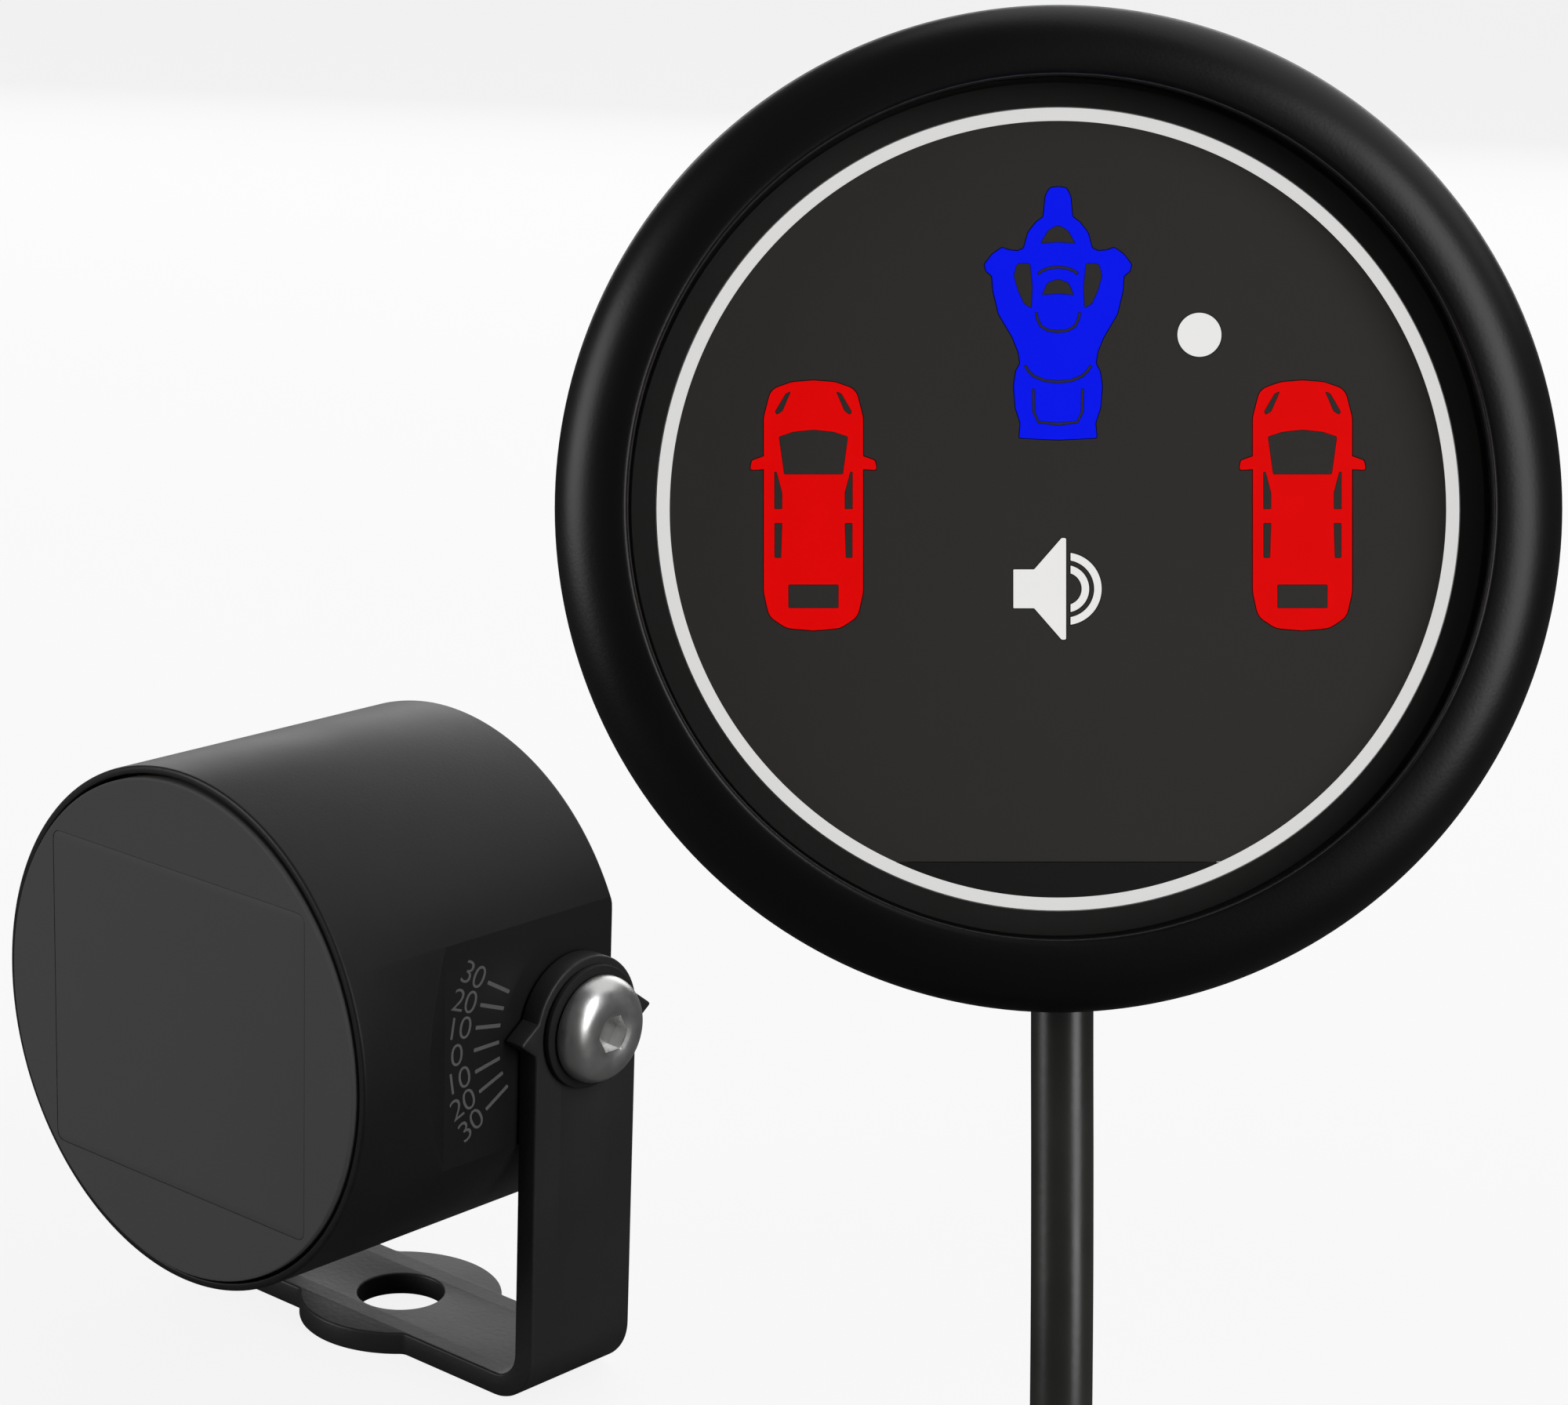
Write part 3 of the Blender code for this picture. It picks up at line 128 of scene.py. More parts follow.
class RADAR_PG_bracket(bpy.types.PropertyGroup):
    """Sizes of the bent U-bracket."""

    sheet: length("Sheet", "Thickness of the bent sheet", 2.1 * MM)
    strip: length("Strip width", "Width of the arms and of the foot", 12.4 * MM)
    bend: length("Bend", "Outside radius of each bend", 4.6 * MM)
    eye: length("Eye radius", "Radius of the round eye in the foot", extent("bracket", 1) / 2.0)
    eye_hole: length("Eye hole", "Radius of the hole in the eye", 4.0 * MM)
    edge: length("Edge round", "Rounding of the stamped edges", 0.22 * MM)


class RADAR_PG_pod(bpy.types.PropertyGroup):
    """Sizes of the radar pod and its scale."""

    radius: length("Radius", "Radius of the pod's body", extent("pod_housing", 2) / 2.0)
    flat: length("Flat", "From the pod's axis to each side flat", 20.7 * MM)
    edge: length("Edge round", "Rounding of the machined edges", 0.3 * MM)
    tick_inner: length("Tick start", "From the tilt axis to each tick's inner end", 8.5 * MM)
    tick_outer: length("Tick end", "From the tilt axis to each tick's outer end", 11.5 * MM)
    digit: length("Digit height", "Height of the scale's numbers", 2.0 * MM)


class RADAR_PG_display(bpy.types.PropertyGroup):
    """Sizes of the round display."""

    radius: length("Radius", "Radius of the bezel", 29.0 * MM)
    opening: length("Opening", "Radius of the bezel's opening", 24.7 * MM)
    rise: length("Rise", "Height of the bezel's inner edge over its outer one", 2.6 * MM)
    ring_inner: length("Ring inside", "Inner radius of the white ring", 22.44 * MM)
    ring_outer: length("Ring outside", "Outer radius of the white ring", 23.15 * MM)
    gap: length("Window gap", "Gap round each symbol in the face", 0.05 * MM)


class RADAR_PG_cable(bpy.types.PropertyGroup):
    """Sizes of the display's cable."""

    diameter: length("Diameter", "Diameter of the jacket", 3.8 * MM)
    pitch: length("Pitch", "Distance between neighbouring turns of the coil", 3.85 * MM)
    coil: length("Coil radius", "Radius of the coil's middle turns", 19.75 * MM)


class RADAR_PG_colours(bpy.types.PropertyGroup):
    """Colours of the finishes."""

    paint: tint("Paint", "Black paint of the bracket", (0.0230, 0.0230, 0.0233))
    anodised: tint("Anodised", "Black of the pod's body", (0.0120, 0.0120, 0.0122))
    bezel: tint("Bezel", "Black of the display's bezel", (0.0030, 0.0030, 0.0030))
    radome: tint("Radome", "Dark grey of the radome", (0.1080, 0.1080, 0.1085))
    face: tint("Face", "Dark grey of the display's face", (0.0680, 0.0645, 0.0590))
    red: tint("Red", "Colour of the lit cars", (0.860, 0.000, 0.000))
    blue: tint("Blue", "Colour of the lit rider", (0.001, 0.008, 1.000))
    white: tint("White", "Colour of the lit dot, speaker and waves", (0.970, 0.965, 0.950))
    ring: tint("Ring", "Colour of the lit ring", (0.830, 0.825, 0.815))
    jacket: tint("Jacket", "Black of the cable's jacket", (0.0240, 0.0240, 0.0220))
    floor: tint("Floor", "Pale colour of the floor", (0.86, 0.86, 0.86))


class RADAR_PG_studio(bpy.types.PropertyGroup):
    """The camera and the lights."""

    camera: bpy.props.FloatVectorProperty(
        name="Camera place",
        description="Where the camera stands",
        default=(0.2431048, -0.2317532, 0.1516301),
        size=3,
        subtype="TRANSLATION",
        precision=5,
    )
    focal: bpy.props.FloatProperty(
        name="Focal length", description="Focal length in millimetres", default=90.02, min=1.0
    )
    top: bpy.props.FloatProperty(
        name="Top light", description="Power of the light overhead, in watts", default=1.7, min=0.0
    )
    back: bpy.props.FloatProperty(
        name="Back light", description="Power of the light behind, in watts", default=2.6, min=0.0
    )
    side: bpy.props.FloatProperty(
        name="Side light", description="Power of the light on the right, in watts", default=4.6, min=0.0
    )
    front: bpy.props.FloatProperty(
        name="Front light", description="Power of the light in front, in watts", default=3.4, min=0.0
    )
    surround: bpy.props.FloatProperty(
        name="Surround", description="Brightness of the surroundings", default=0.07, min=0.0
    )


GROUPS = {
    "radar_bracket": RADAR_PG_bracket,
    "radar_pod": RADAR_PG_pod,
    "radar_display": RADAR_PG_display,
    "radar_cable": RADAR_PG_cable,
    "radar_colours": RADAR_PG_colours,
    "radar_studio": RADAR_PG_studio,
}


def mm(value):
    """A property's metres in millimetres."""
    return value / MM


# ---------------------------------------------------------------- outlines


def arc(radius, start, end, steps, centre=(0.0, 0.0)):
    """Points along an arc, angles in degrees."""
    angles = [math.radians(start + (end - start) * step / steps) for step in range(steps + 1)]
    return [(centre[0] + radius * math.cos(a), centre[1] + radius * math.sin(a)) for a in angles]


def ring_of(radius, sides, centre=(0.0, 0.0)):
    """Points round a whole circle."""
    return arc(radius, 0.0, 360.0 * (sides - 1) / sides, sides - 1, centre)


def softened(points, closed=True, steps=5):
    """An outline of (u, v) or (u, v, radius) corners, rounded off at each corner that has a radius."""
    count = len(points)
    made = []
    for index, point in enumerate(points):
        corner = Vector(point[:2])
        radius = point[2] if len(point) > 2 else 0.0
        if radius <= 0.0 or (not closed and index in (0, count - 1)):
            made.append(tuple(corner))
            continue
        before = Vector(points[index - 1][:2]) - corner
        after = Vector(points[(index + 1) % count][:2]) - corner
        half = before.angle(after) / 2.0
        reach = min(radius / math.tan(half), 0.48 * before.length, 0.48 * after.length)
        first = corner + before.normalized() * reach
        last = corner + after.normalized() * reach
        for step in range(steps + 1):
            t = step / steps
            made.append(tuple(first * (1 - t) ** 2 + corner * 2 * t * (1 - t) + last * t * t))
    return made


def mirrored(half):
    """A closed outline from its right half, from top to bottom. It starts and ends on the middle line."""
    left = [(-point[0], *point[1:]) for point in reversed(half) if point[0] > 0.0]
    return half + left


def flatted(radius, half_width, steps=48):
    """A circle whose left and right sides are cut straight."""
    start = math.degrees(math.acos(half_width / radius))
    top = arc(radius, start, 180.0 - start, steps)
    return top + [(-x, -y) for x, y in top]


def grown(outline, margin):
    """The outline moved outwards by a margin, square to each side."""
    area = sum(a[0] * b[1] - b[0] * a[1] for a, b in zip(outline, outline[1:] + outline[:1]))
    sense = 1.0 if area > 0.0 else -1.0
    moved = []
    for index, point in enumerate(outline):
        before = Vector(point) - Vector(outline[index - 1])
        after = Vector(outline[(index + 1) % len(outline)]) - Vector(point)
        normals = [Vector((side.y, -side.x)).normalized() * sense for side in (before, after)]
        way = normals[0] + normals[1]
        way = way.normalized() if way.length > 1e-6 else normals[0]
        reach = margin / max(way.dot(normals[0]), 0.5)
        moved.append((point[0] + way.x * reach, point[1] + way.y * reach))
    return moved


def shifted(outline, centre):
    """The outline moved to a centre."""
    return [(point[0] + centre[0], point[1] + centre[1], *point[2:]) for point in outline]


def slot_along(path, width):
    """A thin closed outline that follows an open path."""
    left, right = [], []
    for index, point in enumerate(path):
        before = Vector(path[max(index - 1, 0)])
        after = Vector(path[min(index + 1, len(path) - 1)])
        way = (after - before).normalized()
        aside = Vector((-way.y, way.x)) * width / 2.0
        left.append(tuple(Vector(point) + aside))
        right.append(tuple(Vector(point) - aside))
    return left + right[::-1]


# ---------------------------------------------------------------- meshes


def settle(mesh, place):
    """Puts a mesh made in millimetres in its place, in metres."""
    mesh.transform(place @ Matrix.Scale(MM, 4))
    return mesh


def from_bmesh(name, work):
    """The work as a mesh whose faces point outwards."""
    bmesh.ops.recalc_face_normals(work, faces=work.faces)
    mesh = bpy.data.meshes.new(name)
    work.to_mesh(mesh)
    work.free()
    return mesh


def lathe(name, profile, sides):
    """A closed profile of (radius, height) turned about local Z. Points at radius 0 are its poles."""
    work = bmesh.new()
    turns = [2.0 * math.pi * step / sides for step in range(sides)]
    rings = []
    for radius, height in profile:
        if radius < 1e-6:
            rings.append([work.verts.new((0.0, 0.0, height))])
        else:
            spots = [(radius * math.cos(turn), radius * math.sin(turn), height) for turn in turns]
            rings.append([work.verts.new(spot) for spot in spots])
    for low, high in zip(rings, rings[1:] + rings[:1]):
        if len(low) == 1 and len(high) == 1:
            continue
        for step in range(sides):
            after = (step + 1) % sides
            face = [low[step % len(low)], low[after % len(low)]]
            face += [high[after % len(high)], high[step % len(high)]]
            work.faces.new(list(dict.fromkeys(face)))
    return from_bmesh(name, work)


def plate(name, outlines, low, high, edge=0.0):
    """Outlines pushed from one height to another; the inner ones are openings, and the edges are rounded."""
    data = bpy.data.curves.new(name, "CURVE")
    data.dimensions = "2D"
    data.fill_mode = "BOTH"
    data.extrude = (high - low) / 2.0 - edge
    data.bevel_depth = edge
    data.bevel_resolution = 2
    data.offset = -edge
    for outline in outlines:
        spline = data.splines.new("POLY")
        spline.points.add(len(outline) - 1)
        for target, point in zip(spline.points, outline):
            target.co = (point[0], point[1], 0.0, 1.0)
        spline.use_cyclic_u = True
    holder = bpy.data.objects.new(name, data)
    mesh = bpy.data.meshes.new_from_object(holder)
    bpy.data.objects.remove(holder)
    bpy.data.curves.remove(data)
    work = bmesh.new()
    work.from_mesh(mesh)
    bpy.data.meshes.remove(mesh)
    bmesh.ops.remove_doubles(work, verts=work.verts, dist=1e-4)
    bmesh.ops.translate(work, verts=work.verts, vec=(0.0, 0.0, (low + high) / 2.0))
    return from_bmesh(name, work)


def written(text, height, thick):
    """A generic number as a thin plate, centred."""
    data = bpy.data.curves.new("number", "FONT")
    data.body = text
    data.size = height / 0.7
    data.align_x = "CENTER"
    data.align_y = "CENTER"
    data.extrude = thick / 2.0
    data.offset = -0.012 * height
    data.space_character = 0.94
    holder = bpy.data.objects.new("number", data)
    mesh = bpy.data.meshes.new_from_object(holder)
    bpy.data.objects.remove(holder)
    bpy.data.curves.remove(data)
    return mesh


def evaluated(mesh, prepare):
    """A mesh after the modifiers that prepare() puts on it."""
    holder = bpy.data.objects.new(mesh.name, mesh)
    bpy.context.scene.collection.objects.link(holder)
    helpers = prepare(holder) or []
    bpy.context.view_layer.update()
    ready = holder.evaluated_get(bpy.context.evaluated_depsgraph_get())
    made = bpy.data.meshes.new_from_object(ready)
    for helper in [*helpers, holder]:
        bpy.data.objects.remove(helper)
    return made


def carved(mesh, tools, operation="DIFFERENCE"):
    """The mesh after each tool mesh is cut from it, or joined to it."""

    def prepare(holder):
        helpers = []
        for shape in tools:
            helper = bpy.data.objects.new("tool", shape)
            bpy.context.scene.collection.objects.link(helper)
            modifier = holder.modifiers.new("carve", "BOOLEAN")
            modifier.operation = operation
            modifier.solver = "EXACT"
            modifier.object = helper
            helpers.append(helper)
        return helpers

    return evaluated(mesh, prepare)


def eased(mesh, width, segments=3, angle=35.0):
    """The mesh with its sharp edges rounded."""

    def prepare(holder):
        modifier = holder.modifiers.new("ease", "BEVEL")
        modifier.width = width
        modifier.segments = segments
        modifier.limit_method = "ANGLE"
        modifier.angle_limit = math.radians(angle)
        modifier.harden_normals = False

    return evaluated(mesh, prepare)


def moved(mesh, matrix):
    """The mesh, moved in its own frame."""
    mesh.transform(matrix)
    return mesh


def joined(name, parts):
    """One mesh from several (mesh, material number) parts."""
    work = bmesh.new()
    for mesh, number in parts:
        before = len(work.faces)
        work.from_mesh(mesh)
        work.faces.ensure_lookup_table()
        for face in work.faces[before:]:
            face.material_index = number
        bpy.data.meshes.remove(mesh)
    made = bpy.data.meshes.new(name)
    work.to_mesh(made)
    work.free()
    return made


def present(name, mesh, body, finishes, nodes, sharp=32.0):
    """The finished piece: its finishes, the CAD body it rides on and the nodes it stands for."""
    mesh.name = name
    last = len(finishes) - 1
    numbers = [min(face.material_index, last) for face in mesh.polygons]
    mesh.materials.clear()
    for finish in finishes:
        mesh.materials.append(finish)
    mesh.polygons.foreach_set("material_index", numbers)
    mesh.shade_smooth()
    mesh.set_sharp_from_angle(angle=math.radians(sharp))
    piece = bpy.data.objects.new(name, mesh)
    bpy.context.scene.collection.objects.link(piece)
    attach(piece, body)
    if nodes:
        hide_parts(*nodes)
    return piece


# ---------------------------------------------------------------- repeated pieces


def deliver(tree, copies, given, result):
    """Makes the copies real, gives them the finish and hands them out."""
    real = tree.nodes.new("GeometryNodeRealizeInstances")
    tree.links.new(copies.outputs[0], real.inputs[0])
    finish = tree.nodes.new("GeometryNodeSetMaterial")
    tree.links.new(real.outputs[0], finish.inputs["Geometry"])
    tree.links.new(given.outputs["Finish"], finish.inputs["Material"])
    tree.links.new(finish.outputs[0], result.inputs[0])


def ring_tree():
    """Geometry Nodes: copies of a part set round a ring, or along a line."""
    name = "Copies round a ring"
    if name in bpy.data.node_groups:
        return bpy.data.node_groups[name]
    tree = bpy.data.node_groups.new(name, "GeometryNodeTree")
    face = tree.interface
    face.new_socket("Part", in_out="INPUT", socket_type="NodeSocketGeometry")
    face.new_socket("Count", in_out="INPUT", socket_type="NodeSocketInt")
    for label in ("Radius", "Start", "Step", "Rise"):
        face.new_socket(label, in_out="INPUT", socket_type="NodeSocketFloat")
    face.new_socket("Finish", in_out="INPUT", socket_type="NodeSocketMaterial")
    face.new_socket("Copies", in_out="OUTPUT", socket_type="NodeSocketGeometry")
    nodes, links = tree.nodes, tree.links
    given = nodes.new("NodeGroupInput")
    result = nodes.new("NodeGroupOutput")
    index = nodes.new("GeometryNodeInputIndex")

    def calculate(operation, *values):
        node = nodes.new("ShaderNodeMath")
        node.operation = operation
        for socket, value in zip(node.inputs, values):
            links.new(value, socket)
        return node.outputs[0]

    turned = calculate("MULTIPLY", index.outputs[0], given.outputs["Step"])
    turn = calculate("ADD", turned, given.outputs["Start"])
    across = calculate("MULTIPLY", calculate("COSINE", turn), given.outputs["Radius"])
    up = calculate("MULTIPLY", calculate("SINE", turn), given.outputs["Radius"])
    along = calculate("MULTIPLY", index.outputs[0], given.outputs["Rise"])
    spot = nodes.new("ShaderNodeCombineXYZ")
    for socket, value in zip(spot.inputs, (across, up, along)):
        links.new(value, socket)
    points = nodes.new("GeometryNodePoints")
    links.new(given.outputs["Count"], points.inputs["Count"])
    links.new(spot.outputs[0], points.inputs["Position"])
    euler = nodes.new("ShaderNodeCombineXYZ")
    links.new(turn, euler.inputs["Z"])
    rotation = nodes.new("FunctionNodeEulerToRotation")
    links.new(euler.outputs[0], rotation.inputs[0])
    copies = nodes.new("GeometryNodeInstanceOnPoints")
    links.new(points.outputs[0], copies.inputs["Points"])
    links.new(given.outputs["Part"], copies.inputs["Instance"])
    links.new(rotation.outputs[0], copies.inputs["Rotation"])
    deliver(tree, copies, given, result)
    return tree


def marks_tree():
    """Geometry Nodes: a copy of a part on each point of a mesh."""
    name = "Copies on marks"
    if name in bpy.data.node_groups:
        return bpy.data.node_groups[name]
    tree = bpy.data.node_groups.new(name, "GeometryNodeTree")
    face = tree.interface
    face.new_socket("Marks", in_out="INPUT", socket_type="NodeSocketGeometry")
    face.new_socket("Part", in_out="INPUT", socket_type="NodeSocketObject")
    face.new_socket("Scale", in_out="INPUT", socket_type="NodeSocketFloat")
    face.new_socket("Finish", in_out="INPUT", socket_type="NodeSocketMaterial")
    face.new_socket("Copies", in_out="OUTPUT", socket_type="NodeSocketGeometry")
    nodes, links = tree.nodes, tree.links
    given = nodes.new("NodeGroupInput")
    result = nodes.new("NodeGroupOutput")
    part = nodes.new("GeometryNodeObjectInfo")
    links.new(given.outputs["Part"], part.inputs["Object"])
    copies = nodes.new("GeometryNodeInstanceOnPoints")
    links.new(given.outputs["Marks"], copies.inputs["Points"])
    links.new(part.outputs["Geometry"], copies.inputs["Instance"])
    links.new(given.outputs["Scale"], copies.inputs["Scale"])
    deliver(tree, copies, given, result)
    return tree


def fill_inputs(modifier, tree, values):
    """Sets a Geometry Nodes modifier's inputs by their identifiers."""
    for item in tree.interface.items_tree:
        if item.item_type == "SOCKET" and item.in_out == "INPUT" and item.name in values:
            modifier[item.identifier] = values[item.name]


def copies_round(mesh, finish, count, radius=0.0, start=0.0, step=0.0, rise=0.0):
    """Copies of the mesh round a ring, as one mesh. Angles are in degrees."""

    def prepare(holder):
        tree = ring_tree()
        modifier = holder.modifiers.new("copies", "NODES")
        modifier.node_group = tree
        values = {
            "Count": count,
            "Radius": float(radius),
            "Start": math.radians(start),
            "Step": math.radians(step),
            "Rise": float(rise),
            "Finish": finish,
        }
        fill_inputs(modifier, tree, values)

    return evaluated(mesh, prepare)


def copies_on(mesh, finish, places):
    """A copy of the mesh at each place, as one mesh."""
    marks = bpy.data.meshes.new("marks")
    marks.from_pydata(places, [], [])

    def prepare(holder):
        part = bpy.data.objects.new("part", mesh)
        bpy.context.scene.collection.objects.link(part)
        tree = marks_tree()
        modifier = holder.modifiers.new("copies", "NODES")
        modifier.node_group = tree
        fill_inputs(modifier, tree, {"Part": part, "Scale": 1.0, "Finish": finish})
        return [part]

    return evaluated(marks, prepare)


# ---------------------------------------------------------------- finishes


def shader_group(name, inputs, outputs):
    """An empty shader group with named number inputs and outputs."""
    tree = bpy.data.node_groups.new(name, "ShaderNodeTree")
    for label, value in inputs.items():
        socket = tree.interface.new_socket(label, in_out="INPUT", socket_type="NodeSocketFloat")
        socket.default_value = value
    for label in outputs:
        tree.interface.new_socket(label, in_out="OUTPUT", socket_type="NodeSocketFloat")
    return tree, tree.nodes.new("NodeGroupInput"), tree.nodes.new("NodeGroupOutput")


def math_node(tree, operation, *values):
    """A Math node fed by sockets or plain numbers."""
    node = tree.nodes.new("ShaderNodeMath")
    node.operation = operation
    for socket, value in zip(node.inputs, values):
        if isinstance(value, (int, float)):
            socket.default_value = value
        else:
            tree.links.new(value, socket)
    return node.outputs[0]


def noise_node(tree, place, scale, detail, roughness=0.5):
    """A noise texture on object coordinates."""
    node = tree.nodes.new("ShaderNodeTexNoise")
    tree.links.new(place, node.inputs["Vector"])
    if isinstance(scale, (int, float)):
        node.inputs["Scale"].default_value = scale
    else:
        tree.links.new(scale, node.inputs["Scale"])
    node.inputs["Detail"].default_value = detail
    node.inputs["Roughness"].default_value = roughness
    return node.outputs["Fac"]


def grain_group():
    """Fine grain of a surface: a height for bumps and a slow cloud for colour and roughness."""
    name = "Fine grain"
    found = bpy.data.node_groups.get(name)
    if found:
        return found
    inputs = {"Scale": 3000.0, "Cloud Scale": 90.0}
    tree, given, result = shader_group(name, inputs, ["Height", "Cloud", "Speckle"])
    place = tree.nodes.new("ShaderNodeTexCoord").outputs["Object"]
    fine = noise_node(tree, place, given.outputs["Scale"], 3.0, 0.6)
    wide = noise_node(tree, place, given.outputs["Cloud Scale"], 4.0, 0.55)
    cells = tree.nodes.new("ShaderNodeTexVoronoi")
    tree.links.new(place, cells.inputs["Vector"])
    tree.links.new(math_node(tree, "MULTIPLY", given.outputs["Scale"], 0.6), cells.inputs["Scale"])
    pits = math_node(tree, "MINIMUM", math_node(tree, "MULTIPLY", cells.outputs["Distance"], 1.6), 1.0)
    bumps, dents = math_node(tree, "MULTIPLY", fine, 0.65), math_node(tree, "MULTIPLY", pits, 0.35)
    height = math_node(tree, "ADD", bumps, dents)
    tree.links.new(height, result.inputs["Height"])
    tree.links.new(wide, result.inputs["Cloud"])
    tree.links.new(fine, result.inputs["Speckle"])
    return tree


def wear_group():
    """Where edges are rubbed: how far a rounded normal leaves the true one, broken up by noise."""
    name = "Rubbed edges"
    found = bpy.data.node_groups.get(name)
    if found:
        return found
    tree, given, result = shader_group(name, {"Width": 0.0003, "Amount": 1.0, "Scale": 700.0}, ["Mask"])
    place = tree.nodes.new("ShaderNodeTexCoord").outputs["Object"]
    rounded = tree.nodes.new("ShaderNodeBevel")
    rounded.samples = 4
    tree.links.new(given.outputs["Width"], rounded.inputs["Radius"])
    true = tree.nodes.new("ShaderNodeNewGeometry")
    dot = tree.nodes.new("ShaderNodeVectorMath")
    dot.operation = "DOT_PRODUCT"
    tree.links.new(rounded.outputs["Normal"], dot.inputs[0])
    tree.links.new(true.outputs["Normal"], dot.inputs[1])
    away = math_node(tree, "SUBTRACT", 1.0, dot.outputs["Value"])
    edge = math_node(tree, "MINIMUM", math_node(tree, "MULTIPLY", away, 9.0), 1.0)
    patches = noise_node(tree, place, given.outputs["Scale"], 3.0, 0.6)
    patches = math_node(tree, "MULTIPLY", math_node(tree, "SUBTRACT", patches, 0.42), 4.0)
    patches = math_node(tree, "MINIMUM", math_node(tree, "MAXIMUM", patches, 0.0), 1.0)
    mask = math_node(tree, "MULTIPLY", math_node(tree, "MULTIPLY", edge, patches), given.outputs["Amount"])
    tree.links.new(mask, result.inputs["Mask"])
    return tree


def dust_group():
    """A thin film of dust that lies on faces that look up."""
    name = "Settled dust"
    found = bpy.data.node_groups.get(name)
    if found:
        return found
    tree, given, result = shader_group(name, {"Amount": 0.1, "Scale": 260.0}, ["Mask"])
    place = tree.nodes.new("ShaderNodeTexCoord").outputs["Object"]
    normal = tree.nodes.new("ShaderNodeNewGeometry").outputs["Normal"]
    parts = tree.nodes.new("ShaderNodeSeparateXYZ")
    tree.links.new(normal, parts.inputs[0])
    upward = math_node(tree, "MAXIMUM", parts.outputs["Z"], 0.0)
    patches = noise_node(tree, place, given.outputs["Scale"], 5.0, 0.65)
    mask = math_node(tree, "MULTIPLY", math_node(tree, "MULTIPLY", upward, patches), given.outputs["Amount"])
    tree.links.new(mask, result.inputs["Mask"])
    return tree


def place_group(tree, group, values):
    """A shader group placed in a material with its own values."""
    node = tree.nodes.new("ShaderNodeGroup")
    node.node_tree = group
    for label, value in values.items():
        node.inputs[label].default_value = value
    return node


def blend_colour(tree, factor, first, second):
    """A colour between two, by a mask. Each is a plain colour or another colour's socket."""
    node = tree.nodes.new("ShaderNodeMix")
    node.data_type = "RGBA"
    tree.links.new(factor, node.inputs["Factor"])
    for socket, value in ((node.inputs["A"], first), (node.inputs["B"], second)):
        if isinstance(value, bpy.types.NodeSocket):
            tree.links.new(value, socket)
        else:
            socket.default_value = (*value, 1.0)
    return node.outputs["Result"]


def lighter(colour, share):
    """A colour made lighter by a share of itself."""
    return tuple(min(1.0, channel * (1.0 + share)) for channel in colour)


def finish_of(
    name,
    colour,
    roughness,
    metallic=0.0,
    specular=0.5,
    grain=3000.0,
    depth=0.01,
    cloud=90.0,
    mottle=0.2,
    uneven=0.1,
    wear=0.0,
    worn=(0.35, 0.35, 0.35),
    dust=0.0,
    coat=0.0,
):
    """A material with grain, cloudy colour and roughness, rubbed edges and dust. Depth is in millimetres."""
    found = bpy.data.materials.get(name)
    if found:
        return found
    made = bpy.data.materials.new(name)
    made.use_nodes = True
    tree = made.node_tree
    shader = tree.nodes["Principled BSDF"]
    shader.inputs["Metallic"].default_value = metallic
    shader.inputs["Specular IOR Level"].default_value = specular
    shader.inputs["Coat Weight"].default_value = coat
    shader.inputs["Coat Roughness"].default_value = 0.12
    made.diffuse_color = (*colour, 1.0)
    surface = place_group(tree, grain_group(), {"Scale": grain, "Cloud Scale": cloud})
    low, high = lighter(colour, -mottle), lighter(colour, mottle)
    base = blend_colour(tree, surface.outputs["Cloud"], low, high)
    swing = math_node(tree, "SUBTRACT", surface.outputs["Cloud"], 0.5)
    rough = math_node(tree, "ADD", math_node(tree, "MULTIPLY", swing, uneven * 2.0), roughness)
    if wear > 0.0:
        edges = place_group(tree, wear_group(), {"Amount": wear})
        base = blend_colour(tree, edges.outputs["Mask"], base, worn)
        rough = math_node(tree, "SUBTRACT", rough, math_node(tree, "MULTIPLY", edges.outputs["Mask"], 0.12))
    if dust > 0.0:
        film = place_group(tree, dust_group(), {"Amount": dust})
        base = blend_colour(tree, film.outputs["Mask"], base, (0.30, 0.29, 0.27))
        rough = math_node(tree, "ADD", rough, math_node(tree, "MULTIPLY", film.outputs["Mask"], 0.5))
    tree.links.new(base, shader.inputs["Base Color"])
    tree.links.new(rough, shader.inputs["Roughness"])
    bump = tree.nodes.new("ShaderNodeBump")
    bump.inputs["Strength"].default_value = 1.0
    bump.inputs["Distance"].default_value = depth * MM
    tree.links.new(surface.outputs["Height"], bump.inputs["Height"])
    tree.links.new(bump.outputs["Normal"], shader.inputs["Normal"])
    return made


